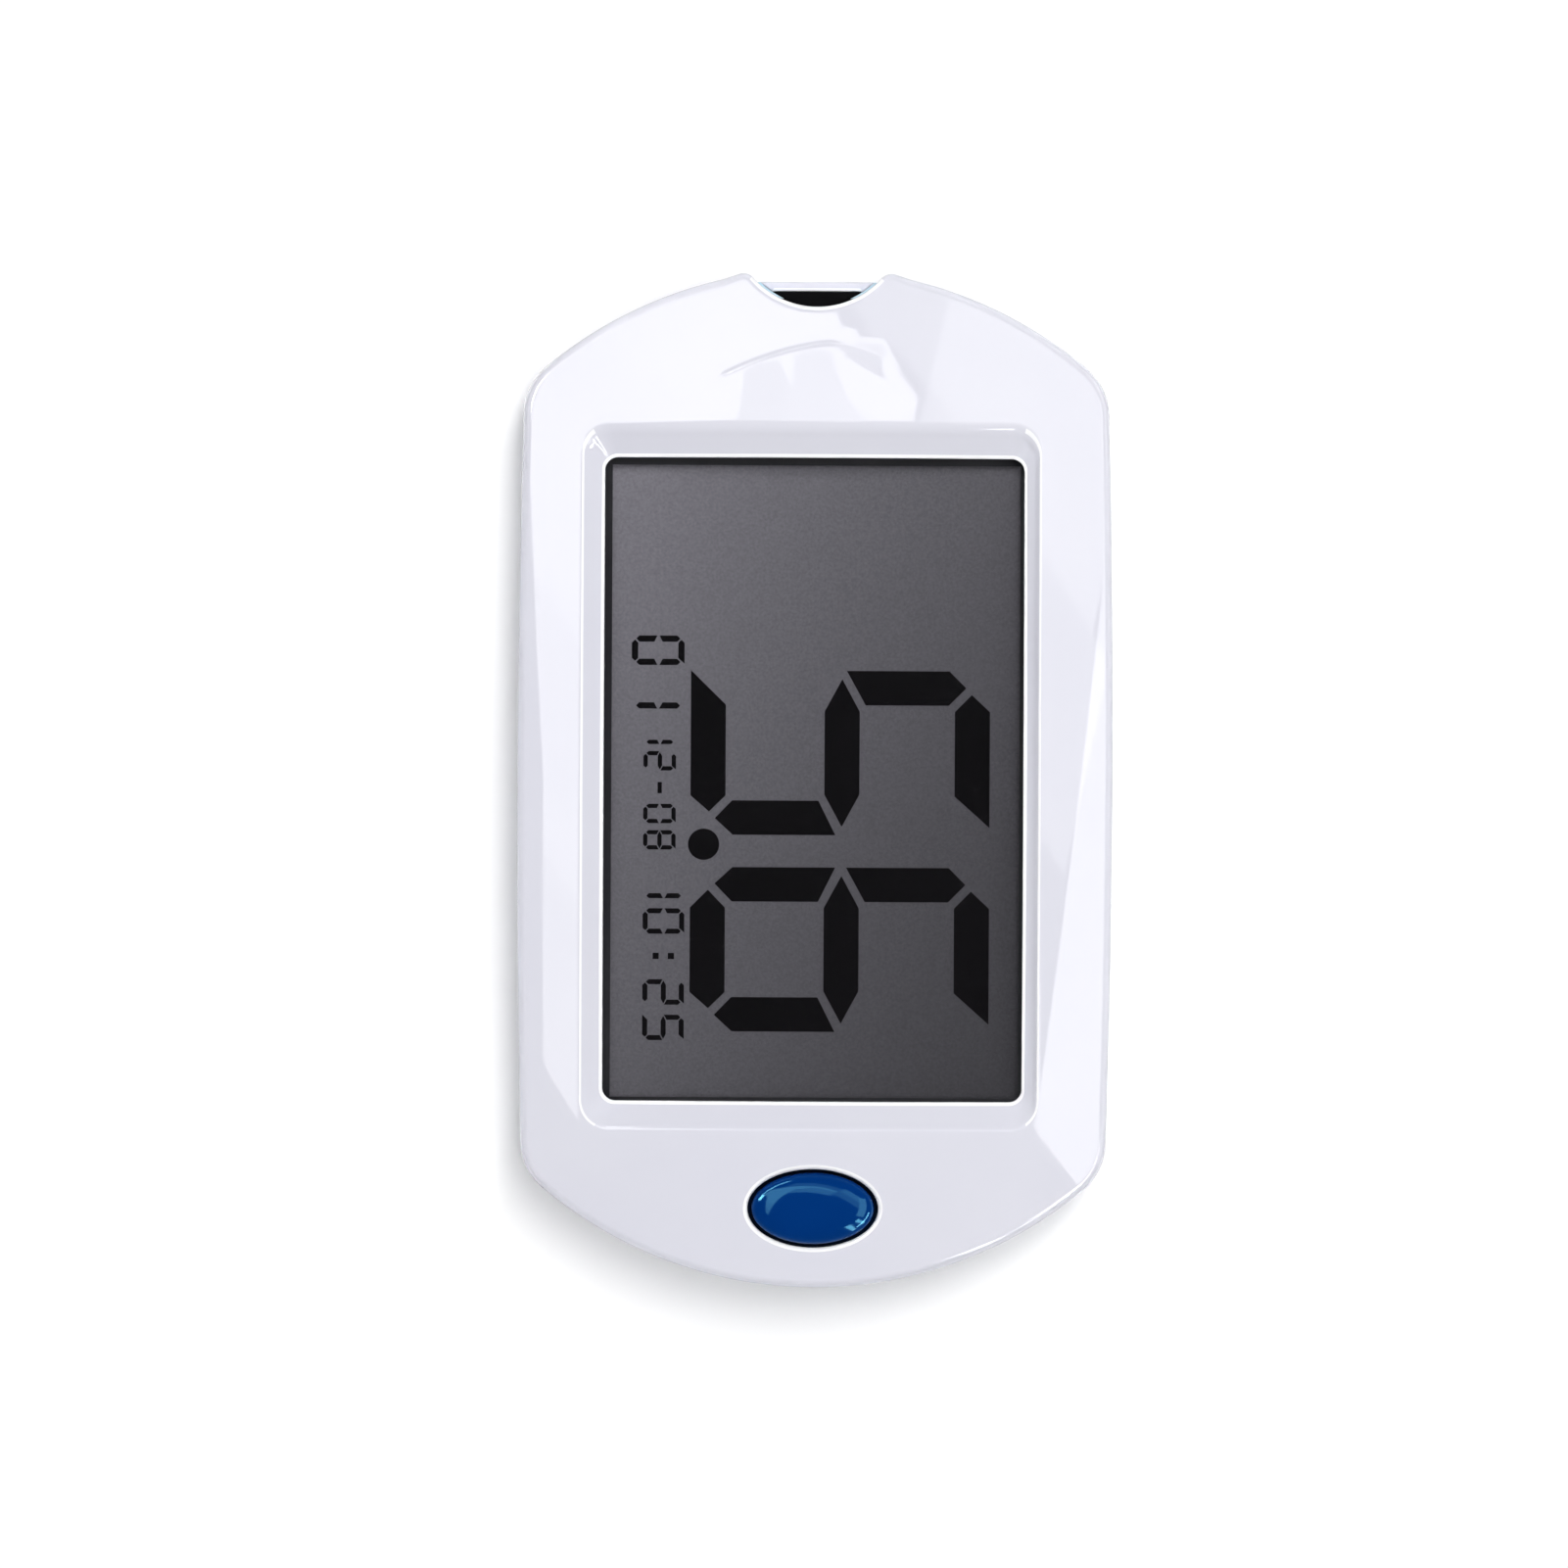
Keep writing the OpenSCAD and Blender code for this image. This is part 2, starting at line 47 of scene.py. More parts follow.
# ------------------------------------------------------------------ sizes, in millimetres, as in the CAD
MM = 0.001
HW, BOW, END_R, CORNER_R, BODY_L, BODY_H = 29.45, 0.45, 41.7, 6.5, 100.5, 18.2
ARC_C = BODY_L / 2 - END_R
CX = HW - BOW - CORNER_R
CY = ARC_C + math.sqrt((END_R - CORNER_R) ** 2 - CX * CX)
TURN = math.degrees(math.atan2(CX, CY - ARC_C))
LEAN = math.degrees(2 * BOW / CY)               # angle where the bowed side meets the corner
SIDE_X, SIDE_Y = CX + CORNER_R * math.cos(math.radians(LEAN)), CY + CORNER_R * math.sin(math.radians(LEAN))
SCOOP_R, SCOOP_Y, LIP_Y = 8.4, BODY_L / 2 + 4.45, BODY_L / 2 - 1.25
_sy = ARC_C + ((SCOOP_Y - ARC_C) ** 2 + END_R ** 2 - SCOOP_R ** 2) / (2 * (SCOOP_Y - ARC_C))
OY = (BODY_L / 2 - _sy) / 2
KX, KY = 260.0, 750.0
ZT = BODY_H + 34.4 ** 2 / KY - 0.03
PART_Z = 8.5
LENS_Z = 14.7
BUTTON_Y = -42.2
WIN_X, WIN_Y = -0.15, -0.15
BEZEL_X = -0.45


def smooth(a, b, x):
    t = min(1.0, max(0.0, (x - a) / (b - a)))
    return t * t * (3 - 2 * t)


def crease_y(x):
    """The arched crease under the port."""
    xs = x - 1.3
    k = math.sqrt(xs * xs + 0.09) - 0.3
    return 42.7 - (0.11 * k + 0.0185 * xs * xs if xs < 0 else 0.16 * k + 0.025 * xs * xs)


def facet_y(x):
    """Lower edge of the small facet to the right of the crease's peak."""
    return 42.45 - 0.8626 * (x - 1.83) if x < 3.94 else 40.63 - 0.525 * (x - 3.94)


def crest(x, y):
    """Low relief under the port: a fine arched crease along a slight fold, and a facet on its right."""
    if not (-11.5 < x < 9.0 and 33.0 < y < 49.5):
        return 0.0
    d = crease_y(x) - y
    ends = smooth(-9.6, -8.9, x) * (1 - smooth(0.8, 3.2, x))
    z = -0.072 * ends * math.exp(-(d / 0.19) ** 2)
    fold = smooth(-11.0, -7.2, x) * (1 - smooth(1.5, 8.5, x)) * smooth(33.4, 36.0, y) * (1 - smooth(45.5, 49.0, y))
    z += 0.055 * fold * math.exp(-math.sqrt(d * d + 0.01) / (4.5 if d > 0 else 3.0))
    if 1.9 < x < 7.4:
        share = smooth(1.9, 2.6, x) * (1 - smooth(5.8, 7.2, x))
        # the facet dips towards the crease, and the face comes back up softly behind it
        t = (min(y, crease_y(x)) - facet_y(x)) * 0.76
        if t > 0:
            z -= 0.045 * t * share * (1 if d > 0 else 1 - smooth(0.0, 1.3, -d))
    return z


def crown(x, y):
    return ZT - x * x / KX - y * y / KY + crest(x, y)


def crown_grad(x, y):
    e = 0.02
    return (crown(x + e, y) - crown(x - e, y)) / (2 * e), (crown(x, y + e) - crown(x, y - e)) / (2 * e)


def up_normal(x, y):
    gx, gy = crown_grad(x, y)
    return Vector((-gx, -gy, 1)).normalized()


# ------------------------------------------------------------------ outlines: [x, y, inward x, inward y]
def arc_points(cx, cy, r, a0, a1, step, concave=False, last=False):
    n = max(2, int(math.ceil(abs(math.radians(a1 - a0)) * r / step)))
    out = []
    for i in range(n + (1 if last else 0)):
        a = math.radians(a0 + (a1 - a0) * i / n)
        c, s = math.cos(a), math.sin(a)
        out.append((cx + r * c, cy + r * s, c if concave else -c, s if concave else -s))
    return out


SHOULDER_R = 1.4
_ys = ARC_C + ((SCOOP_Y - ARC_C) ** 2 + (END_R - SHOULDER_R) ** 2 - (SCOOP_R + SHOULDER_R) ** 2) / (2 * (SCOOP_Y - ARC_C))
SH = (math.sqrt((END_R - SHOULDER_R) ** 2 - (_ys - ARC_C) ** 2), _ys)
SH_OUT = math.degrees(math.atan2(SH[1] - ARC_C, SH[0]))            # where the end arc meets the shoulder
SH_IN = math.degrees(math.atan2(SH[1] - SCOOP_Y, SH[0]))           # where the scoop meets it, seen from the scoop's axis
MOUTH = 4.45


def body_outline(notch, step=0.9):
    """Counter-clockwise outline of the body at the parting line, starting low on the right side."""
    n = int(2 * CY / 1.25)

    def side(s):                  # the bowed side: s = 1 on the right going up, s = -1 on the left going down
        out = []
        for i in range(n):
            t = 2 * i / n - 1
            k = 2 * BOW * t / SIDE_Y
            l = math.hypot(1, k)
            out.append((s * (SIDE_X + BOW * (1 - t * t)), s * SIDE_Y * t, -s / l, -s * k / l))
        return out

    pts = side(1)
    pts += arc_points(CX, CY, CORNER_R, LEAN, 90 - TURN, 0.5)
    if notch:
        pts += arc_points(0, ARC_C, END_R, 90 - TURN, SH_OUT, step)
        pts += arc_points(SH[0], SH[1], SHOULDER_R, SH_OUT, 180 + SH_IN, 0.22)
        m = math.degrees(math.asin(MOUTH / SCOOP_R))
        for a0, a1 in ((SH_IN, -90 + m), (-90 + m, -90 - m), (-90 - m, -180 - SH_IN)):
            pts += arc_points(0, SCOOP_Y, SCOOP_R, a0, a1, 0.35, concave=True)
        pts += arc_points(-SH[0], SH[1], SHOULDER_R, -SH_IN, 180 - SH_OUT, 0.22)
        pts += arc_points(0, ARC_C, END_R, 180 - SH_OUT, 90 + TURN, step)
    else:
        pts += arc_points(0, ARC_C, END_R, 90 - TURN, 90 + TURN, step)
    pts += arc_points(-CX, CY, CORNER_R, 90 + TURN, 180 - LEAN, 0.5)
    pts += side(-1)
    pts += arc_points(-CX, -CY, CORNER_R, 180 + LEAN, 270 - TURN, 0.5)
    pts += arc_points(0, -ARC_C, END_R, 270 - TURN, 270 + TURN, step)
    pts += arc_points(CX, -CY, CORNER_R, 270 + TURN, 360 - LEAN, 0.5)
    return pts


def rounded_rect(hx, hy, r, cy=0.0, corner=10, sx=30, sy=46):
    """Counter-clockwise, with the same count whatever the size, starting low on the right side."""
    out = []
    def line(x0, y0, x1, y1, n, m):
        return [(x0 + (x1 - x0) * i / n, y0 + (y1 - y0) * i / n, m[0], m[1]) for i in range(n)]
    def bend(cx, cy_, a0):
        return [(cx + r * math.cos(math.radians(a0 + 90 * i / corner)), cy_ + r * math.sin(math.radians(a0 + 90 * i / corner)),
                 -math.cos(math.radians(a0 + 90 * i / corner)), -math.sin(math.radians(a0 + 90 * i / corner))) for i in range(corner)]
    out += line(hx, cy - hy + r, hx, cy + hy - r, sy, (-1, 0))
    out += bend(hx - r, cy + hy - r, 0)
    out += line(hx - r, cy + hy, -hx + r, cy + hy, sx, (0, -1))
    out += bend(-hx + r, cy + hy - r, 90)
    out += line(-hx, cy + hy - r, -hx, cy - hy + r, sy, (1, 0))
    out += bend(-hx + r, cy - hy + r, 180)
    out += line(-hx + r, cy - hy, hx - r, cy - hy, sx, (0, 1))
    out += bend(hx - r, cy - hy + r, 270)
    return out


def ellipse(a, b, cy, n=96):
    out = []
    for i in range(n):
        t = 2 * math.pi * i / n
        nx, ny = math.cos(t) / a, math.sin(t) / b
        l = math.hypot(nx, ny)
        out.append((a * math.cos(t), cy + b * math.sin(t), -nx / l, -ny / l))
    return out


# ------------------------------------------------------------------ mesh building
class Build:
    """Collects vertices with their own normals, and faces. Positions in millimetres."""

    def __init__(self):
        self.v, self.n, self.f, self.flat, self.mat = [], [], [], [], []

    def add(self, p, n=None):
        self.v.append((p[0], p[1] + OY, p[2]))
        self.n.append(Vector(n) if n is not None else None)
        return len(self.v) - 1

    def ring(self, ps, ns=None):
        return [self.add(p, ns[i] if ns else None) for i, p in enumerate(ps)]

    def face(self, ids, flat=False, mat=0):
        out = []
        for i in ids:
            if i not in out:
                out.append(i)
        if len(out) >= 3:
            self.f.append(out)
            self.flat.append(flat)
            self.mat.append(mat)

    def strip(self, a, b, flat=False, closed=True, skip=None, mat=0):
        """Quads between two rings; facing is left to recalc."""
        n = len(a)
        for i in range(n if closed else n - 1):
            if skip and skip(i):
                continue
            j = (i + 1) % n
            self.face((a[i], a[j], b[j], b[i]), flat, mat(i) if callable(mat) else mat)

    def dup(self, ids, n=None):
        """The same places again, for a hard edge."""
        out = []
        for i in ids:
            self.v.append(self.v[i])
            self.n.append(Vector(n) if n is not None else None)
            out.append(len(self.v) - 1)
        return out

    def make(self, name, mats):
        """One closed mesh: doubles are welded, and the normals that were given are kept on the corners."""
        key, new, index = {}, [], []
        for p in self.v:
            k = (round(p[0], 4), round(p[1], 4), round(p[2], 4))
            if k not in key:
                key[k] = len(new)
                new.append(p)
            index.append(key[k])
        faces, corner, flat, mat = [], [], [], []
        for f, fl, m in zip(self.f, self.flat, self.mat):
            w, c = [], []
            for i in f:
                if index[i] not in w:
                    w.append(index[i])
                    c.append(None if fl else self.n[i])
            if len(w) >= 3:
                faces.append(w), corner.append(c), flat.append(fl), mat.append(m)
        bm = bmesh.new()
        verts = [bm.verts.new((p[0] * MM, p[1] * MM, p[2] * MM)) for p in new]
        tag = bm.faces.layers.int.new("src")
        for i, w in enumerate(faces):
            try:
                face = bm.faces.new([verts[k] for k in w])
                face[tag] = i
                face.material_index = mat[i]
            except ValueError:
                pass
        bmesh.ops.recalc_face_normals(bm, faces=bm.faces[:])
        me = bpy.data.meshes.new(name)
        bm.to_mesh(me)
        bm.free()
        for m in mats:
            me.materials.append(m)
        me.polygons.foreach_set("use_smooth", [True] * len(me.polygons))
        src = [d.value for d in me.attributes["src"].data]
        normals = []
        fallback = 0
        for p in me.polygons:
            w, c = faces[src[p.index]], corner[src[p.index]]
            for k in range(p.loop_start, p.loop_start + p.loop_total):
                n = c[w.index(me.loops[k].vertex_index)]
                if n is None:
                    n = p.normal
                elif n.dot(p.normal) < 0:
                    n = -n
                normals.append(tuple(n))
        me.normals_split_custom_set(normals)
        me.attributes.remove(me.attributes["src"])
        me.validate()
        ob = bpy.data.objects.new(name, me)
        bpy.context.scene.collection.objects.link(ob)
        return ob


def inside(poly, x, y):
    hit = False
    n = len(poly)
    j = n - 1
    for i in range(n):
        xi, yi, xj, yj = poly[i][0], poly[i][1], poly[j][0], poly[j][1]
        if (yi > y) != (yj > y) and x < (xj - xi) * (y - yi) / (yj - yi) + xi:
            hit = not hit
        j = i
    return hit


def fill(b, loops, height, normal, spacing=1.3, flat=False, mat=0, grid=True, lines=()):
    """Triangulates between an outer loop and its holes. loops = [[(x, y, id), ...], ...], the outer one first."""
    pts, ids, edges = [], [], []
    for loop in loops:
        s = len(pts)
        for k, (x, y, i) in enumerate(loop):
            pts.append((x, y))
            ids.append(i)
            edges.append((s + k, s + (k + 1) % len(loop)))
    for line in lines:
        s = len(pts)
        for k, (x, y) in enumerate(line):
            pts.append((x, y))
            ids.append(b.add((x, y, height(x, y)), normal(x, y)))
            if k:
                edges.append((s + k - 1, s + k))
    border = np.array(pts)
    if grid:
        xs, ys = border[:, 0], border[:, 1]
        row = 0
        y = ys.min()
        while y < ys.max():
            x = xs.min() + (spacing / 2 if row % 2 else 0)
            while x < xs.max():
                if np.min((xs - x) ** 2 + (ys - y) ** 2) > (0.62 * spacing) ** 2 and inside(loops[0], x, y) and not any(inside(l, x, y) for l in loops[1:]):
                    pts.append((x, y))
                    ids.append(b.add((x, y, height(x, y)), normal(x, y)))
                x += spacing
            y += spacing * 0.866
            row += 1
    vs, _, faces, orig, _, _ = delaunay_2d_cdt([Vector(p) for p in pts], edges, [], 0, 1e-5)
    for f in faces:
        cx = sum(vs[i][0] for i in f) / len(f)
        cy = sum(vs[i][1] for i in f) / len(f)
        if inside(loops[0], cx, cy) and not any(inside(l, cx, cy) for l in loops[1:]):
            b.face([ids[orig[i][0]] for i in f], flat, mat)


def with_id(ring_pts, ids):
    return [(p[0], p[1], i) for p, i in zip(ring_pts, ids)]


# ------------------------------------------------------------------ materials
def material(name):
    m = bpy.data.materials.new(name)
    m.use_nodes = True
    nt = m.node_tree
    nt.nodes.clear()
    out = nt.nodes.new("ShaderNodeOutputMaterial")
    return m, nt, out


def noise(nt, scale, detail=3.0, rough=0.5, coords=None):
    n = nt.nodes.new("ShaderNodeTexNoise")
    n.inputs["Scale"].default_value = scale
    n.inputs["Detail"].default_value = detail
    n.inputs["Roughness"].default_value = rough
    if coords:
        nt.links.new(coords, n.inputs["Vector"])
    return n


def obj_coords(nt):
    return nt.nodes.new("ShaderNodeTexCoord").outputs["Object"]


def ramp(nt, source, lo, hi, a, b):
    r = nt.nodes.new("ShaderNodeMapRange")
    nt.links.new(source, r.inputs["Value"])
    r.inputs["From Min"].default_value, r.inputs["From Max"].default_value = lo, hi
    r.inputs["To Min"].default_value, r.inputs["To Max"].default_value = a, b
    return r.outputs["Result"]


def mix_color(nt, fac, a, b):
    m = nt.nodes.new("ShaderNodeMix")
    m.data_type = "RGBA"
    nt.links.new(fac, m.inputs["Factor"])
    m.inputs[6].default_value = (*a, 1)
    m.inputs[7].default_value = (*b, 1)
    return m.outputs[2]


def plastic(name, a, b, rough=(0.1, 0.16), bump=0.0, bump_scale=900, tint_scale=45, spec=0.5, coat=0.0, metallic=0.0, bump_dist=0.0001, spec_tint=None, ior=1.5):
    """Moulded material: two close tints in soft clouds, a roughness that wanders, and a fine surface grain."""
    m, nt, out = material(name)
    p = nt.nodes.new("ShaderNodeBsdfPrincipled")
    nt.links.new(p.outputs[0], out.inputs[0])
    co = obj_coords(nt)
    tint = noise(nt, tint_scale, 4, 0.55, co)
    nt.links.new(mix_color(nt, ramp(nt, tint.outputs["Fac"], 0.35, 0.65, 0, 1), a, b), p.inputs["Base Color"])
    rn = noise(nt, tint_scale * 3.7, 5, 0.6, co)
    nt.links.new(ramp(nt, rn.outputs["Fac"], 0.3, 0.7, rough[0], rough[1]), p.inputs["Roughness"])
    p.inputs["Specular IOR Level"].default_value = spec
    p.inputs["Metallic"].default_value = metallic
    p.inputs["IOR"].default_value = ior
    if spec_tint:
        p.inputs["Specular Tint"].default_value = (*spec_tint, 1)
    if coat:
        p.inputs["Coat Weight"].default_value = coat
        p.inputs["Coat Roughness"].default_value = 0.04
    if bump:
        g = noise(nt, bump_scale, 3, 0.5, co)
        bn = nt.nodes.new("ShaderNodeBump")
        bn.inputs["Strength"].default_value = bump
        bn.inputs["Distance"].default_value = bump_dist
        nt.links.new(g.outputs["Fac"], bn.inputs["Height"])
        nt.links.new(bn.outputs[0], p.inputs["Normal"])
    return m


M = {}
M["shell_plastic"] = plastic("shell_plastic", (0.70, 0.70, 0.775), (0.72, 0.72, 0.79), (0.012, 0.03), bump=0.004, bump_scale=220)
# a lighter copy of the shell white, laid on narrow rims and ridges as a painted highlight for their bright lines
M["shell_edge_painted_highlight"] = plastic("shell_edge_painted_highlight", (0.93, 0.93, 0.95), (0.96, 0.96, 0.975), (0.03, 0.06), bump=0.006, bump_scale=220)
M["rear_plastic"] = plastic("rear_plastic", (0.62, 0.625, 0.71), (0.65, 0.655, 0.735), (0.3, 0.38), bump=0.12, bump_scale=2600, bump_dist=0.00003)
M["button_blue"] = plastic("button_blue", (0.0003, 0.029, 0.165), (0.0004, 0.033, 0.185), (0.05, 0.09), bump=0.008, bump_scale=300, spec=0.4, spec_tint=(0.2, 0.75, 1.0))
# near black for the cap's skirt and flange: painted shade where the gap round the button lies in shadow
M["button_skirt_painted_shade"] = plastic("button_skirt_painted_shade", (0.001, 0.004, 0.014), (0.002, 0.006, 0.018), (0.5, 0.65), spec=0.04)
M["port_black"] = plastic("port_black", (0.0015, 0.0015, 0.002), (0.003, 0.003, 0.0035), (0.5, 0.65), spec=0.04)
M["gasket_foam"] = plastic("gasket_foam", (0.004, 0.004, 0.006), (0.009, 0.009, 0.011), (0.8, 0.95), bump=0.5, bump_scale=3500, bump_dist=0.00005)
M["frame_plastic"] = plastic("frame_plastic", (0.7, 0.7, 0.69), (0.75, 0.75, 0.74), (0.4, 0.5), bump=0.1, bump_scale=2500, bump_dist=0.00003)
M["segment_ink"] = plastic("segment_ink", (0.0025, 0.0022, 0.0026), (0.0035, 0.003, 0.0036), (0.5, 0.6), spec=0.03)
M["reflector_foil"] = plastic("reflector_foil", (0.5, 0.5, 0.52), (0.55, 0.55, 0.57), (0.3, 0.4), metallic=1.0)
M["zebra_rubber"] = plastic("zebra_rubber", (0.4, 0.22, 0.26), (0.46, 0.27, 0.31), (0.6, 0.7))
M["board"] = plastic("board", (0.012, 0.09, 0.03), (0.02, 0.13, 0.045), (0.3, 0.4), bump=0.2, bump_scale=1200)
M["chip_black"] = plastic("chip_black", (0.012, 0.012, 0.013), (0.02, 0.02, 0.021), (0.5, 0.65), bump=0.3, bump_scale=3000, bump_dist=0.00003)
M["metal_can"] = plastic("metal_can", (0.6, 0.6, 0.62), (0.66, 0.66, 0.67), (0.22, 0.34), metallic=1.0)
M["capacitor_ceramic"] = plastic("capacitor_ceramic", (0.3, 0.21, 0.12), (0.35, 0.25, 0.15), (0.5, 0.6))
M["plunger_plastic"] = plastic("plunger_plastic", (0.6, 0.5, 0.08), (0.65, 0.55, 0.1), (0.4, 0.5))
M["gold_contact"] = plastic("gold_contact", (0.75, 0.5, 0.15), (0.8, 0.56, 0.2), (0.15, 0.25), metallic=1.0)
M["cell_steel"] = plastic("cell_steel", (0.62, 0.62, 0.63), (0.68, 0.68, 0.69), (0.18, 0.3), metallic=1.0)
M["spring_bronze"] = plastic("spring_bronze", (0.62, 0.4, 0.18), (0.68, 0.46, 0.22), (0.25, 0.4), metallic=1.0)
M["screw_steel"] = plastic("screw_steel", (0.5, 0.5, 0.52), (0.58, 0.58, 0.6), (0.25, 0.38), metallic=1.0, bump=0.1, bump_scale=1500)
M["foot_rubber"] = plastic("foot_rubber", (0.02, 0.021, 0.026), (0.03, 0.031, 0.037), (0.6, 0.75), bump=0.35, bump_scale=2200, bump_dist=0.00004)


def window_glass(name, tint, fac, rough=0.0):
    """Clear sheet: what is behind shows through, and its surface mirrors by the angle."""
    m, nt, out = material(name)
    tr = nt.nodes.new("ShaderNodeBsdfTransparent")
    tr.inputs["Color"].default_value = (*tint, 1)
    gl = nt.nodes.new("ShaderNodeBsdfGlossy")
    gl.inputs["Color"].default_value = (1, 1, 1, 1)
    co = obj_coords(nt)
    n = noise(nt, 60, 3, 0.5, co)
    nt.links.new(ramp(nt, n.outputs["Fac"], 0.3, 0.7, rough, rough + 0.03), gl.inputs["Roughness"])
    fr = nt.nodes.new("ShaderNodeFresnel")
    fr.inputs["IOR"].default_value = fac
    cap = nt.nodes.new("ShaderNodeMath")      # rays aren't bent on entry, so the far face would mirror all of a low view
    cap.operation = "MINIMUM"
    nt.links.new(fr.outputs[0], cap.inputs[0])
    cap.inputs[1].default_value = 0.08
    mx = nt.nodes.new("ShaderNodeMixShader")
    nt.links.new(cap.outputs[0], mx.inputs[0])
    nt.links.new(tr.outputs[0], mx.inputs[1])
    nt.links.new(gl.outputs[0], mx.inputs[2])
    nt.links.new(mx.outputs[0], out.inputs[0])
    return m


M["clear_window"] = window_glass("clear_window", (0.97, 0.97, 0.98), 1.2, 0.01)
M["cell_front"] = window_glass("cell_front", (0.96, 0.96, 0.97), 1.05, 0.3)


def lcd_grey(name):
    """The display's grey film: fine grain, and a painted fall of light across the sheet, lighter at the top left and
    darker towards the bottom right.
    """
    m, nt, out = material(name)
    p = nt.nodes.new("ShaderNodeBsdfPrincipled")
    nt.links.new(p.outputs[0], out.inputs[0])
    co = obj_coords(nt)
    sep = nt.nodes.new("ShaderNodeSeparateXYZ")
    nt.links.new(co, sep.inputs[0])
    u = ramp(nt, sep.outputs["X"], -0.0205, 0.0205, 0, 1)
    v = ramp(nt, sep.outputs["Y"], 0.0317, -0.0317, 0, 1)

    def math_node(op, *args):
        n = nt.nodes.new("ShaderNodeMath")
        n.operation = op
        for k, a in enumerate(args):
            if isinstance(a, (int, float)):
                n.inputs[k].default_value = a
            else:
                nt.links.new(a, n.inputs[k])
        return n.outputs[0]

    # painted light: the grey is darkened from the top left towards the bottom right, as if lit from the top left
    t = math_node("ADD", math_node("MULTIPLY", u, 0.76), math_node("MULTIPLY", v, 0.66))
    t = math_node("ADD", t, math_node("MULTIPLY", math_node("MULTIPLY", u, v), 0.33))
    painted_light_falloff = math_node("EXPONENT", math_node("MULTIPLY", t, -1.0))
    g = noise(nt, 4200, 2, 0.5, co)
    grain = ramp(nt, g.outputs["Fac"], 0.3, 0.7, 0.70, 0.90)
    both = math_node("MULTIPLY", painted_light_falloff, grain)
    col = nt.nodes.new("ShaderNodeMix")
    col.data_type = "RGBA"
    nt.links.new(both, col.inputs["Factor"])
    col.inputs[6].default_value = (0.0, 0.0, 0.0, 1)
    col.inputs[7].default_value = (0.288, 0.278, 0.292, 1)
    nt.links.new(col.outputs[2], p.inputs["Base Color"])
    r = noise(nt, 700, 3, 0.5, co)
    nt.links.new(ramp(nt, r.outputs["Fac"], 0.3, 0.7, 0.42, 0.5), p.inputs["Roughness"])
    p.inputs["Specular IOR Level"].default_value = 0.2
    return m


M["cell_glass"] = lcd_grey("cell_glass")


def guide_material():
    m, nt, out = material("guide_clear_blue")
    p = nt.nodes.new("ShaderNodeBsdfPrincipled")
    nt.links.new(p.outputs[0], out.inputs[0])
    co = obj_coords(nt)
    n = noise(nt, 300, 3, 0.5, co)
    nt.links.new(mix_color(nt, ramp(nt, n.outputs["Fac"], 0.3, 0.7, 0, 1), (0.42, 0.6, 0.74), (0.5, 0.68, 0.8)), p.inputs["Base Color"])
    nt.links.new(ramp(nt, n.outputs["Fac"], 0.3, 0.7, 0.12, 0.2), p.inputs["Roughness"])
    p.inputs["Subsurface Weight"].default_value = 0.4
    p.inputs["Subsurface Radius"].default_value = (0.6, 0.9, 1.0)
    p.inputs["Subsurface Scale"].default_value = 0.001
    return m


M["guide_clear_blue"] = guide_material()


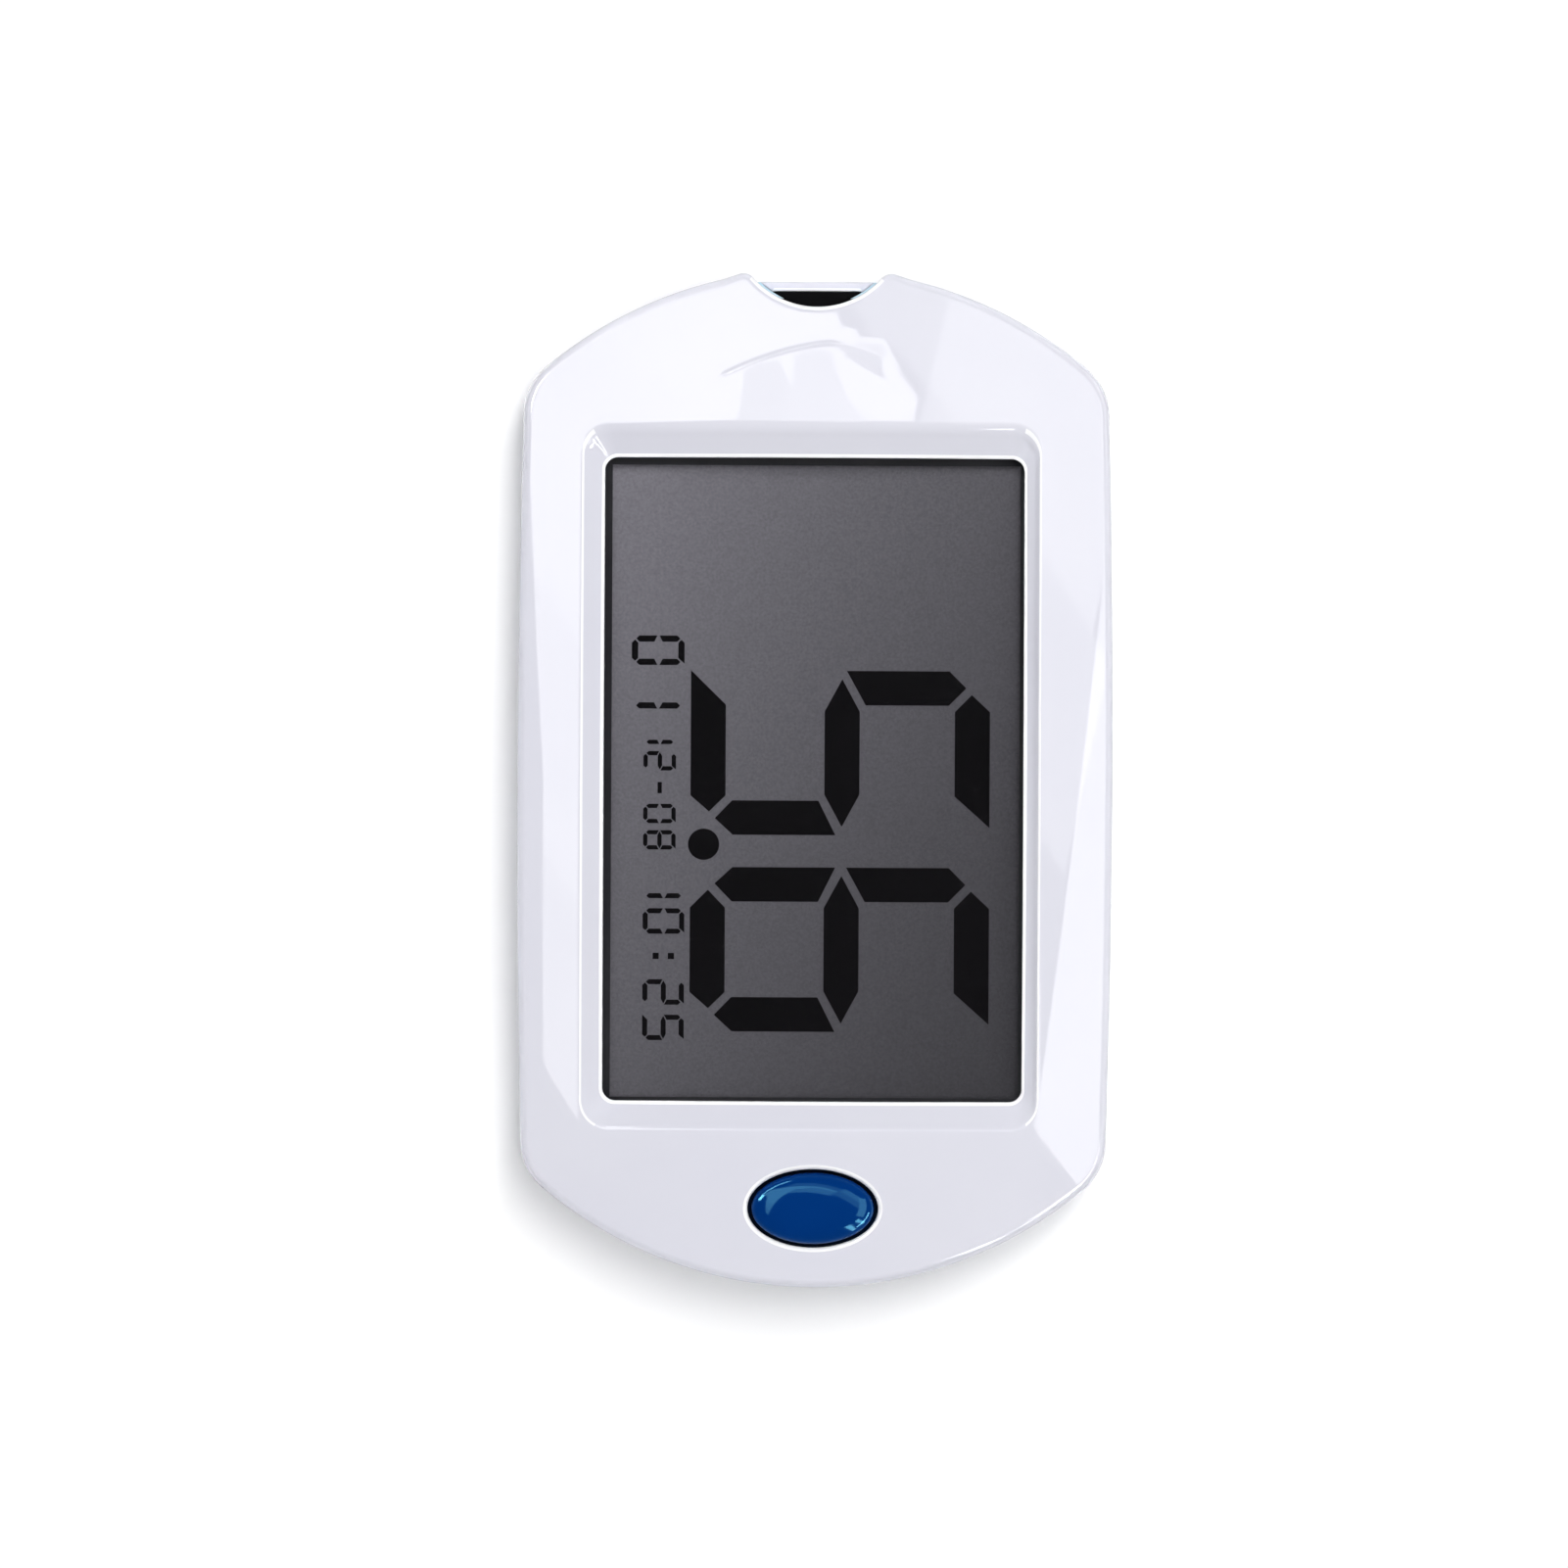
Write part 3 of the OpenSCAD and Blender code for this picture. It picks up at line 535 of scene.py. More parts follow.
# ------------------------------------------------------------------ front housing
def front_housing():
    b = Build()
    base = body_outline(True)
    n = len(base)
    D0, RF = 0.22, 0.8            # lean of the wall, and radius of the rolled edge

    def tangent(p):               # counter-clockwise
        return Vector((p[3], -p[2], 0))

    def scoop_share(p):           # 1 in the scoop, 0 on the rest of the outline, eased over the shoulders
        if p[1] < 45 or abs(p[0]) > 12:
            return 0.0
        return 1 - smooth(7.2, 9.6, abs(p[0]))

    # wall, from the seam up, then the rolled edge
    seam = 0.16
    rows, prev = [], None
    levels = [(PART_Z, 0.14, None), (PART_Z + seam, 0.0, 0.0), (12.1, 0.08, 0.0), (13.6, 0.14, 0.0)]
    chamfer = []
    for z, d, k in levels:
        ps = []
        for p in base:
            dd = d * (1 - scoop_share(p))
            ps.append((p[0] + p[2] * dd, p[1] + p[3] * dd, z))
        ns = [Vector((-p[2], -p[3], 0.045)).normalized() for p in base]
        rows.append(b.ring(ps, ns))
    for s in range(0, 11):
        th = math.radians(90 * s / 10)
        ps, ns = [], []
        for p in base:
            rf = RF - 0.1 * scoop_share(p)
            d = D0 * (1 - scoop_share(p)) + rf * (1 - math.cos(th))
            x, y = p[0] + p[2] * d, p[1] + p[3] * d
            z = crown(x, y) - rf * (1 - math.sin(th))
            gx, gy = crown_grad(x, y)
            g = gx * p[2] + gy * p[3]
            td = Vector((p[2] * math.sin(th), p[3] * math.sin(th), g * math.sin(th) + math.cos(th)))
            t = tangent(p)
            ts = Vector((t.x, t.y, gx * t.x + gy * t.y))
            ps.append((x, y, z))
            ns.append(ts.cross(td).normalized())
        rows.append(b.ring(ps, ns))
    on_scoop = [abs(p[0]) < MOUTH + 0.01 and p[1] < SCOOP_Y and (p[0] ** 2 + (p[1] - SCOOP_Y) ** 2) < (SCOOP_R + 0.01) ** 2 for p in base]
    mouth = lambda i: on_scoop[i] and on_scoop[(i + 1) % n]
    for k in range(len(rows) - 1):
        # the rolled edge round the scoop takes the lighter white: a painted highlight along the scoop's rim
        edge = (lambda i: 1 if abs(base[i][0]) < 6.6 and base[i][1] > 40 and (base[i][0] ** 2 + (base[i][1] - SCOOP_Y) ** 2) < (SCOOP_R + 0.01) ** 2 else 0)
        b.strip(rows[k], rows[k + 1], skip=(mouth if k < 2 else None), mat=edge if 3 <= k <= 10 else 0)
    top = rows[-1]
    top_pts = [(b.v[i][0], b.v[i][1] - OY) for i in top]

    # window surround
    outer = [(p[0] + BEZEL_X, *p[1:]) for p in rounded_rect(22.4, 34.4, 2.7)]
    inner = [(p[0] + WIN_X, *p[1:]) for p in rounded_rect(20.6, 31.6, 1.25, WIN_Y)]
    m = len(outer)
    RHO, LAND = 0.2, 0.17
    BEAD_W = 0.3
    prof, land_from = [], 0
    for i in range(m):
        # a little deeper at the two ends
        DEPTH = 1.52 + 0.32 * smooth(31.5, 34.0, -outer[i][1]) + 0.3 * smooth(31.5, 34.0, outer[i][1])
        # a fine ridge runs round the recess, fading out along the top, where the edge is a wider roll
        at_top = smooth(31.5, 34.0, outer[i][1])
        E = 0.36 + 0.34 * at_top
        BEAD_H = 0.055 * (1 - at_top) * (1 - 0.6 * smooth(31.5, 34.0, -outer[i][1]))
        o, q = Vector(outer[i][:2]), Vector(inner[i][:2])
        w = (q - o).length
        u = (q - o) / w
        # nearly even, but on the narrow right side steep under the ridge
        s1 = (1.15 + 0.25 * smooth(19.0, 21.5, outer[i][0])) * DEPTH / w
        sl, T = 0.12, 0.5
        al = math.atan(sl)
        d_roll = w - RHO * (1 - math.sin(al))
        d_land = d_roll - LAND
        drop0 = s1 * E + s1 * T / 2
        s2 = (DEPTH - drop0 - sl * LAND - RHO * 0.5) / (T / 2 + d_land - E - T)
        def slope_at(d):
            if d <= -E:
                return 0.0
            if d < E:
                return s1 * (d + E) / (2 * E)
            if d < E + T:
                return s1 + (s2 - s1) * (d - E) / T
            return s2
        def drop_at(d):
            if d <= -E:
                return 0.0
            if d < E:
                return s1 * (d + E) ** 2 / (4 * E)
            if d < E + T:
                return s1 * E + s1 * (d - E) + (s2 - s1) * (d - E) ** 2 / (2 * T)
            return s1 * E + (s1 + s2) * T / 2 + s2 * (d - E - T)
        pr = []
        ds = [-E + 2 * E * t / 12 for t in range(13)] + [E + T / 3, E + 2 * T / 3, E + T]
        ds += [E + T + (d_land - 0.02 - E - T) * t / 3 for t in (1, 2, 3)]
        for d in ds:
            bead, bs = 0.0, 0.0
            if abs(d + 0.04) < BEAD_W:
                bead = BEAD_H * 0.5 * (1 + math.cos(math.pi * (d + 0.04) / BEAD_W))
                bs = -BEAD_H * 0.5 * math.pi / BEAD_W * math.sin(math.pi * (d + 0.04) / BEAD_W)
            pr.append((d, bead - drop_at(d), bs - slope_at(d)))
        land_from = len(pr)
        z1 = -drop_at(d_land)
        pr.append((d_land + 0.02, z1 - sl * 0.02, -sl))
        pr.append((d_roll, z1 - sl * LAND, -sl))
        for t in range(1, 8):     # rolls down into the window
            ph = al + (math.pi / 2 - al) * t / 7
            pr.append((d_roll + RHO * (math.sin(ph) - math.sin(al)), z1 - sl * LAND - RHO * (math.cos(al) - math.cos(ph)), -math.tan(min(ph, 1.5533))))
        prof.append((o, u, pr))
    rings = []
    for k in range(len(prof[0][2])):
        ps = []
        for o, u, pr in prof:
            xy = o + u * pr[k][0]
            ps.append((xy.x, xy.y, crown(xy.x, xy.y) + pr[k][1]))
        ns = []
        for i in range(m):
            a, c = Vector(ps[(i + 1) % m]), Vector(ps[i - 1])
            ts = (a - c).normalized()
            u, sl = prof[i][1], prof[i][2][k][2]
            gx, gy = crown_grad(ps[i][0], ps[i][1])
            tq = Vector((u.x, u.y, sl + gx * u.x + gy * u.y)).normalized()
            nn = ts.cross(tq).normalized()
            ns.append(nn if nn.z >= 0 else -nn)
        rings.append(b.ring(ps, ns))
    low = b.ring([(p[0], p[1], LENS_Z + 0.05) for p in inner], [Vector((p[2], p[3], 0)) for p in inner])
    for k in range(len(rings) - 1):
        # the land and the roll into the window, and the ridge except along the top and bottom sides, take the lighter
        # white: painted highlight lines round the recess
        bead_painted_highlight = lambda i: 0 if abs(outer[i][1]) > 33.5 and abs(outer[i][0] - BEZEL_X) < 21 else 1
        b.strip(rings[k], rings[k + 1], mat=1 if k >= land_from - 1 else bead_painted_highlight if 3 <= k <= 6 else 0)
    b.strip(rings[-1], low)
    win_top = [(b.v[i][0], b.v[i][1] - OY) for i in rings[0]]

    # button hole
    hole = ellipse(6.4, 3.85, BUTTON_Y)
    RB = 0.45
    hrows = []
    for s in range(0, 8):
        th = math.radians(90 * s / 7)       # 0 on the face, 90 down the wall
        ps, ns = [], []
        for p in hole:
            d = RB * (1 - math.sin(th))
            x, y = p[0] - p[2] * d, p[1] - p[3] * d
            gx, gy = crown_grad(x, y)
            ps.append((x, y, crown(x, y) - RB * (1 - math.cos(th))))
            up = Vector((-gx, -gy, 1)).normalized()
            ns.append((up * math.cos(th) + Vector((p[2], p[3], 0)) * math.sin(th)).normalized())
        hrows.append(b.ring(ps, ns))
    ceil_z = lambda x, y: max(crown(x, y) - 1.8, LENS_Z + 0.05)
    hlow = b.ring([(p[0], p[1], ceil_z(p[0], p[1])) for p in hole], [Vector((p[2], p[3], 0)) for p in hole])
    # the rounded rim of the button hole is all in the lighter white: a painted highlight ring
    for k in range(len(hrows) - 1):
        b.strip(hrows[k], hrows[k + 1], mat=1)
    b.strip(hrows[-1], hlow)
    hole_top = [(b.v[i][0], b.v[i][1] - OY) for i in hrows[0]]

    # crowned face
    lines = []
    for off in (0.42, 0.26, 0.13, 0.0, -0.13, -0.26, -0.42, -0.8):
        lines.append([(x, crease_y(x) + off) for x in np.arange(-10.0, 7.01, 0.5)])
    for off in (0.0, -0.12):
        lines.append([(x, facet_y(x) + off) for x in np.arange(3.3, 7.01, 0.5)])
    fill(b, [with_id(top_pts, top), with_id(win_top, rings[0]), with_id(hole_top, hrows[0])], crown, up_normal, 1.15, lines=lines)

    # inside: parting face, inner wall, ceiling
    wall = 1.8
    r_in = SCOOP_R + 1.8
    yi = ARC_C + ((SCOOP_Y - ARC_C) ** 2 + (END_R - wall) ** 2 - r_in ** 2) / (2 * (SCOOP_Y - ARC_C))
    corner = (math.sqrt((END_R - wall) ** 2 - (yi - ARC_C) ** 2), yi)
    inner_pts = []
    for p in base:
        x, y = p[0] + p[2] * wall, p[1] + p[3] * wall
        if y > 46 and (abs(x) < corner[0] or (x * x + (y - SCOOP_Y) ** 2) < r_in ** 2 - 0.01):
            d = math.hypot(p[0], p[1] - SCOOP_Y)
            if abs(d - SCOOP_R) < 0.02 and abs(p[0] * r_in / SCOOP_R) < corner[0]:
                x, y = p[0] * r_in / SCOOP_R, SCOOP_Y + (p[1] - SCOOP_Y) * r_in / SCOOP_R
            else:
                x, y = math.copysign(corner[0], p[0]), corner[1]
        inner_pts.append((x, y))
    zlow = [12.1 if on_scoop[i] else PART_Z for i in range(n)]
    o8, i8 = rows[0], b.ring([(x, y, PART_Z) for x, y in inner_pts])
    i12 = b.ring([(x, y, 12.1) for x, y in inner_pts])
    o12 = rows[2]
    itop = b.ring([(x, y, ceil_z(x, y)) for x, y in inner_pts])
    b.strip(o8, i8, True, skip=mouth)
    b.strip(i8, i12, True, skip=mouth)
    b.strip(i12, itop, True)
    for i in range(n):
        j = (i + 1) % n
        if mouth(i):
            b.face((o12[i], o12[j], i12[j], i12[i]), True)
    ends = [i for i in range(n) if on_scoop[i] and not (mouth(i) and mouth(i - 1))]
    for i in ends:
        b.face((o8[i], rows[1][i], o12[i], i12[i], i8[i]), True)
    seen, loop = set(), []
    for (x, y), i in zip(inner_pts, itop):
        k = (round(x, 3), round(y, 3))
        if k not in seen:
            seen.add(k)
            loop.append((x, y, i))
    fill(b, [loop, with_id(inner, low), with_id(hole, hlow)], ceil_z, lambda x, y: Vector((0, 0, -1)), 3.0, flat=True)
    ob = b.make("front_shell", [M["shell_plastic"], M["shell_edge_painted_highlight"]])
    return ob


shell = front_housing()
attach(shell, "housing")
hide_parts("front_housing")


# ------------------------------------------------------------------ button
def button_cap():
    b = Build()
    A, B = 6.0, 3.5
    z0 = 17.0
    rows = []
    prof = [(13.95, 1.0, 0.0)]
    NP = 26
    rings = [(14.0, 0.0), (16.6, 0.0)]
    def ring_at(d, z, slope_dir):
        ps, ns = [], []
        for p in ellipse(A, B, BUTTON_Y, 120):
            k = 1 - d
            x, y = p[0] * k, BUTTON_Y + (p[1] - BUTTON_Y) * k
            ps.append((x, y, z))
            r, h = slope_dir
            ns.append(Vector((-p[2] * r, -p[3] * r, h)).normalized())
        return b.ring(ps, ns)
    rows.append(ring_at(0, 14.0, (1, 0)))
    rows.append(ring_at(0, 16.7, (1, 0)))
    # superelliptic dome: z = z0 + h * (1 - s^p)^(1/q)
    h, pw, q = 1.0, 3.4, 1.7
    zb = 16.95
    last = None
    for i in range(1, NP + 1):
        t = i / NP
        s = math.cos(t * math.pi / 2) ** 0.85
        z = zb + h * (1 - s ** pw) ** (1 / q)
        e = 1e-4
        s1, s2 = min(s + e, 0.99995), max(s - e, 0)
        z1 = zb + h * (1 - s1 ** pw) ** (1 / q)
        z2 = zb + h * (1 - s2 ** pw) ** (1 / q)
        dz = (z2 - z1) / (s1 - s2)          # rise per unit of s lost
        if i < NP:
            ps, ns = [], []
            for p in ellipse(A, B, BUTTON_Y, 120):
                x, y = p[0] * s, BUTTON_Y + (p[1] - BUTTON_Y) * s
                rr = math.hypot(p[0], p[1] - BUTTON_Y)
                # surface z = f(s), s^2 = (x/A)^2 + (y/B)^2: gradient of s
                gs = Vector((p[0] / (A * A), (p[1] - BUTTON_Y) / (B * B), 0))
                ps.append((x, y, z))
                ns.append((gs * dz + Vector((0, 0, 1))).normalized())
            rows.append(b.ring(ps, ns))
        else:
            last = b.add((0, BUTTON_Y, z), (0, 0, 1))
    for k in range(len(rows) - 1):
        b.strip(rows[k], rows[k + 1])
    r = rows[-1]
    for i in range(len(r)):
        b.face((r[i], r[(i + 1) % len(r)], last))
    # flange under the housing
    fl = ellipse(6.9, 4.3, BUTTON_Y, 120)
    f1 = b.ring([(p[0], p[1], 14.7) for p in fl])
    f0 = b.ring([(p[0], p[1], 13.9) for p in fl])
    el = ellipse(A, B, BUTTON_Y, 120)
    c1 = b.ring([(p[0], p[1], 14.7) for p in el])
    # the lower side wall and the flange take the near-black painted shade
    b.strip(c1, rows[1], mat=1)
    b.strip(c1, f1, True, mat=1)
    b.strip(f1, f0, True, mat=1)
    cen = b.add((0, BUTTON_Y, 13.9))
    for i in range(len(f0)):
        b.face((f0[i], f0[(i + 1) % len(f0)], cen), True, mat=1)
    b.f = b.f[:]
    # the row at 14.0 was only a guide for the side's normals
    used = [(f, fl_, m_) for f, fl_, m_ in zip(b.f, b.flat, b.mat) if not any(i in set(rows[0]) for i in f)]
    b.f, b.flat, b.mat = [u[0] for u in used], [u[1] for u in used], [u[2] for u in used]
    # the skirt and its flange are painted near black: painted shade for the deep gap round the blue cap
    return b.make("button_cap", [M["button_blue"], M["button_skirt_painted_shade"]])


cap = button_cap()
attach(cap, "button")
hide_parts("button")


# ------------------------------------------------------------------ solids that are cut
def plain_mesh(name, verts, faces, mats=(), keep=False):
    """A mesh from millimetre points, its faces turned outwards."""
    bm = bmesh.new()
    vs = [bm.verts.new((p[0] * MM, (p[1] + OY) * MM, p[2] * MM)) for p in verts]
    for f in faces:
        bm.faces.new([vs[i] for i in f])
    bmesh.ops.recalc_face_normals(bm, faces=bm.faces[:])
    me = bpy.data.meshes.new(name)
    bm.to_mesh(me)
    bm.free()
    for m in mats:
        me.materials.append(m)
    ob = bpy.data.objects.new(name, me)
    bpy.context.scene.collection.objects.link(ob)
    return ob


def stack(name, rings, mats=()):
    """Closed solid through rings of equal length."""
    n = len(rings[0])
    verts = [p for r in rings for p in r]
    faces = [list(range(n))[::-1], [(len(rings) - 1) * n + i for i in range(n)]]
    for k in range(len(rings) - 1):
        faces += [[k * n + i, k * n + (i + 1) % n, (k + 1) * n + (i + 1) % n, (k + 1) * n + i] for i in range(n)]
    return plain_mesh(name, verts, faces, mats)


def lathe(name, x, y, prof, n=56, mats=()):
    """Solid of revolution about a vertical axis; prof = [(radius, z), ...]."""
    return stack(name, [[(x + r * math.cos(2 * math.pi * i / n), y + r * math.sin(2 * math.pi * i / n), z) for i in range(n)] for r, z in prof], mats)


def block(name, x0, x1, y0, y1, z0, z1, mats=()):
    return stack(name, [[(x0, y0, z), (x1, y0, z), (x1, y1, z), (x0, y1, z)] for z in (z0, z1)], mats)


def prism_y(name, section, y0, y1, mats=()):
    """A section in x and z, drawn along y."""
    return stack(name, [[(x, y, z) for x, z in section] for y in (y0, y1)], mats)


def prism_z(name, plan, z0, z1, mats=()):
    return stack(name, [[(x, y, z) for x, y in plan] for z in (z0, z1)], mats)


def joined(name, obs):
    """Several separate solids as one object."""
    bm = bmesh.new()
    for o in obs:
        bm.from_mesh(o.data)
    me = bpy.data.meshes.new(name)
    bm.to_mesh(me)
    bm.free()
    for m in obs[0].data.materials:
        me.materials.append(m)
    for o in obs:
        old = o.data
        bpy.data.objects.remove(o)
        bpy.data.meshes.remove(old)
    ob = bpy.data.objects.new(name, me)
    bpy.context.scene.collection.objects.link(ob)
    return ob


def combine(ob, tool, operation):
    """Boolean, made final at once."""
    md = ob.modifiers.new("combine", "BOOLEAN")
    md.operation = operation
    md.solver = "EXACT"
    md.object = tool
    bpy.context.view_layer.update()
    me = bpy.data.meshes.new_from_object(ob.evaluated_get(bpy.context.evaluated_depsgraph_get()))
    ob.modifiers.clear()
    old = ob.data
    ob.data = me
    bpy.data.meshes.remove(old)
    t = tool.data
    bpy.data.objects.remove(tool)
    bpy.data.meshes.remove(t)
    return ob


def settle(ob, name, mats, angle=28):
    """Cleans up after cutting, and shades it smooth between its real edges."""
    me = ob.data
    bm = bmesh.new()
    bm.from_mesh(me)
    bmesh.ops.remove_doubles(bm, verts=bm.verts[:], dist=2e-6)
    bmesh.ops.dissolve_degenerate(bm, edges=bm.edges[:], dist=1e-6)
    bmesh.ops.triangulate(bm, faces=[f for f in bm.faces if len(f.verts) > 4])
    bmesh.ops.recalc_face_normals(bm, faces=bm.faces[:])
    bm.to_mesh(me)
    bm.free()
    me.materials.clear()
    for m in mats:
        me.materials.append(m)
    me.polygons.foreach_set("use_smooth", [True] * len(me.polygons))
    me.set_sharp_from_angle(angle=math.radians(angle))
    me.name = name
    ob.name = name
    return ob


# ------------------------------------------------------------------ rear housing
BACK_Z = 0.6
FEET = [(sx * 20.5, sy * 30) for sx in (-1, 1) for sy in (-1, 1)]
BOSS = [(sx * 19.5, sy * 38.8) for sx in (-1, 1) for sy in (-1, 1)]
CELL_Y, DOOR_Y = -20.0, -8.2


def back_form(name):
    """Outer form of the back: flat, with an elliptic rolled edge up to the straight wall, and half of the seam's groove."""
    base = body_outline(False, 1.1)
    prof = []
    for k in range(13):
        a = math.radians(90 * k / 12)
        prof.append((4.2 - 3.6 * math.cos(a), 2.6 * (1 - math.sin(a))))
    prof += [(6.2, 0.0), (8.34, 0.0), (8.5, 0.14)]
    return stack(name, [[(p[0] + p[2] * d, p[1] + p[3] * d, z) for p in base] for z, d in prof])


def scoop_edge(r, y0, y1, side, n=14):
    """Points on the circle of radius r about the scoop's axis, between two heights along y."""
    out = []
    for k in range(n + 1):
        y = y0 + (y1 - y0) * k / n
        out.append((side * math.sqrt(r * r - (y - SCOOP_Y) ** 2), y))
    return out


def rear_housing():
    ob = back_form("rear_shell")
    inner = body_outline(False, 1.6)
    combine(ob, prism_z("t", [(p[0] + p[2] * 1.8, p[1] + p[3] * 1.8) for p in inner], 2.4, 12), "DIFFERENCE")
    combine(ob, block("t", -40, 40, LIP_Y, 60, -1, 12), "DIFFERENCE")
    combine(ob, joined("t", [block("a", -14.4, 14.4, -46.9, -6.4, 2.3, 3.4),
                             block("b", -7.5, 7.5, LIP_Y - 1.3, LIP_Y, 2.3, PART_Z)] +
                            [lathe("c", x, y, [(3, 2.3), (3, PART_Z)]) for x, y in BOSS]), "UNION")
    combine(ob, lathe("t", 0, CELL_Y, [(12, 2.35), (12, 6.6), (11.7, 6.9)], 96), "UNION")
    w, g = 12.4, 13.3
    combine(ob, prism_y("t", [(-w - 0.3, -1), (w + 0.3, -1), (w + 0.3, 0.55), (w, 0.85), (w, 1.25), (g, 1.25), (g, 2.25),
                              (-g, 2.25), (-g, 1.25), (-w, 1.25), (-w, 0.85), (-w - 0.3, 0.55)], -60, DOOR_Y + 0.15), "DIFFERENCE")
    combine(ob, lathe("t", 0, CELL_Y, [(10.35, 1.9), (10.35, 5.9)], 96), "DIFFERENCE")
    combine(ob, block("t", -2.7, 2.7, CELL_Y + 9.5, CELL_Y + 13, 5.4, 8), "DIFFERENCE")
    cuts = [lathe("s", x, y, [(2.45, 0.4), (2.45, 0.5), (2.1, 0.85), (2.1, 3.4), (1.15, 3.4), (1.15, 10)]) for x, y in BOSS]
    cuts += [lathe("f", x, y, [(3.95, 0.3), (3.85, 0.5), (3.6, 0.75), (3.6, 1.3)], 72) for x, y in FEET]
    cuts += [lathe("h", -10.5 + 2.2 * math.cos(math.radians(a)) * k, 33 + 2.2 * math.sin(math.radians(a)) * k,
                   [(0.9, 0.3), (0.86, 0.5), (0.6, 0.76), (0.6, 4)], 24) for a, k in [(0, 0)] + [(a, 1) for a in range(0, 360, 60)]]
    pan = []
    for d, z in ((-0.3, 0.3), (-0.25, 0.5), (0.0, 0.8)):
        pan.append([(p[0], p[1], z) for p in rounded_rect(17 - d, 14 - d, 1.6, 12.0, 8, 6, 6)])
    cuts.append(stack("p", pan))
    combine(ob, joined("t", cuts), "DIFFERENCE")
    return settle(ob, "rear_shell", [M["rear_plastic"]])


rear = rear_housing()
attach(rear, "housing")
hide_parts("rear_housing")


def port_lip():
    """Low lip over the strip port, its ends following the scoop, with a bevel towards the slot; the lip's face on that
    side, bevel included, is in the lighter white as a painted highlight.
    """
    b = Build()
    y0, y1, r = LIP_Y - 0.9, LIP_Y, 8.0
    right = scoop_edge(r, y0, y1, 1)
    left = scoop_edge(r, y0, y1, -1)[::-1]
    pts, nrm = [], []
    def put(x, y, nx, ny):
        pts.append((x, y))
        nrm.append((nx, ny))
    for k, (x, y) in enumerate(right):
        put(x, y, -x / r, -(y - SCOOP_Y) / r)
    for k in range(1, 16):
        t = k / 16
        put(right[-1][0] * (1 - 2 * t), y1, 0, -1)
    for x, y in left:
        put(x, y, -x / r, -(y - SCOOP_Y) / r)
    for k in range(1, 16):
        t = k / 16
        put(left[-1][0] * (1 - 2 * t), y0, 0, 1)
    n = len(pts)
    c = (0, (y0 + y1) / 2)
    rows = []
    for z, d, tilt in [(8.45, 0, 0), (10.6, 0, 0)] + [(10.6 + 0.3 * math.sin(math.radians(a)), 0.3 * (1 - math.cos(math.radians(a))), a) for a in (18, 36, 54, 72, 90)]:
        ps, ns = [], []
        for (x, y), (nx, ny) in zip(pts, nrm):
            # moves towards the lip's middle line, so that the ends keep their slant
            yy = y + (d if y < c[1] else -d) * (1 if y in (y0, y1) or abs(ny) > 0.9 else 0.0)
            yy = min(max(yy, y0 + d), y1 - d)
            xx = x - math.copysign(d, x) * (1 if abs(nx) > 0.3 else 0)
            ps.append((xx, yy, z))
            a = math.radians(tilt)
            ns.append(Vector((-nx * math.cos(a), -ny * math.cos(a), math.sin(a))).normalized())
        rows.append(b.ring(ps, ns))
    # the face towards the slot takes the lighter white: painted highlight
    def part(i):
        return 1 if pts[i][1] < y0 + 0.01 and pts[(i + 1) % n][1] < y0 + 0.01 else 0
    for k in range(len(rows) - 1):
        b.strip(rows[k], rows[k + 1], mat=part)
    b.face(rows[-1])
    b.face(rows[0], True)
    return b.make("port_lip", [M["shell_plastic"], M["shell_edge_painted_highlight"]])


lip = port_lip()
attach(lip, "housing")
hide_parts("rear_housing")


def port_guide():
    """Clear blue guide: a bar across the port and a curved cheek at each end of the slot."""
    obs = [block("t", -6.1, 6.1, 46.55, 47.55, 7.65, 9.7)]
    for s in (-1, 1):
        out = scoop_edge(8.36, 47.35, 48.93, s)
        inn = scoop_edge(8.04, 47.35, 48.93, s)[::-1]
        plan = out + inn
        obs.append(prism_z("c", plan, 8.6, 11.55))
    ob = joined("port_guide_clear", obs)
    md = ob.modifiers.new("edges", "BEVEL")
    md.width = 0.00006
    md.segments = 2
    md.limit_method = "ANGLE"
    bpy.context.view_layer.update()
    me = bpy.data.meshes.new_from_object(ob.evaluated_get(bpy.context.evaluated_depsgraph_get()))
    ob.modifiers.clear()
    ob.data = me
    return settle(ob, "port_guide_clear", [M["guide_clear_blue"]])


guide = port_guide()
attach(guide, "housing")
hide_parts("port_guide")


# ------------------------------------------------------------------ battery door
def battery_door():
    ob = back_form("battery_cover")
    w, g = 12.25, 13.15
    combine(ob, prism_y("t", [(-w + 0.2, -1), (w - 0.2, -1), (w - 0.2, 0.6), (w, 0.8), (w, 2.15), (-w, 2.15), (-w, 0.8), (-w + 0.2, 0.6)],
                        -60, DOOR_Y), "INTERSECT")
    combine(ob, block("t", -g, g, -46, DOOR_Y - 0.001, 1.35, 2.149), "UNION")
    # thumb grips: rounded bars, and a plain pointer in the way it slides
    bars = []
    for i in range(5):
        y = -42.9 + 2.2 * i
        rings = []
        for a in (0, 15, 30, 45, 60, 75, 85):
            d = 0.5 * (1 - math.cos(math.radians(a)))
            z = 0.62 - 0.32 * math.sin(math.radians(a))
            rings.append([(p[0], p[1], z) for p in rounded_rect(5 - d, 0.5 - d, max(0.49 - d, 0.02), y, 8, 4, 1)])
        rings.insert(0, [(p[0], p[1], 0.8) for p in rounded_rect(5, 0.5, 0.49, y, 8, 4, 1)])
        bars.append(stack("r", rings))
    combine(ob, joined("t", bars), "UNION")
    tri = []
    for k, z in ((1.18, 0.4), (1.0, 0.82)):
        tri.append([(k * x, -29.0 + k * y, z) for x, y in ((0.0, -1.9), (2.4, 1.1), (-2.4, 1.1))])
    combine(ob, stack("t", tri), "DIFFERENCE")
    return settle(ob, "battery_cover", [M["rear_plastic"]])


door = battery_door()
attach(door, "battery_door")
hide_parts("battery_door")


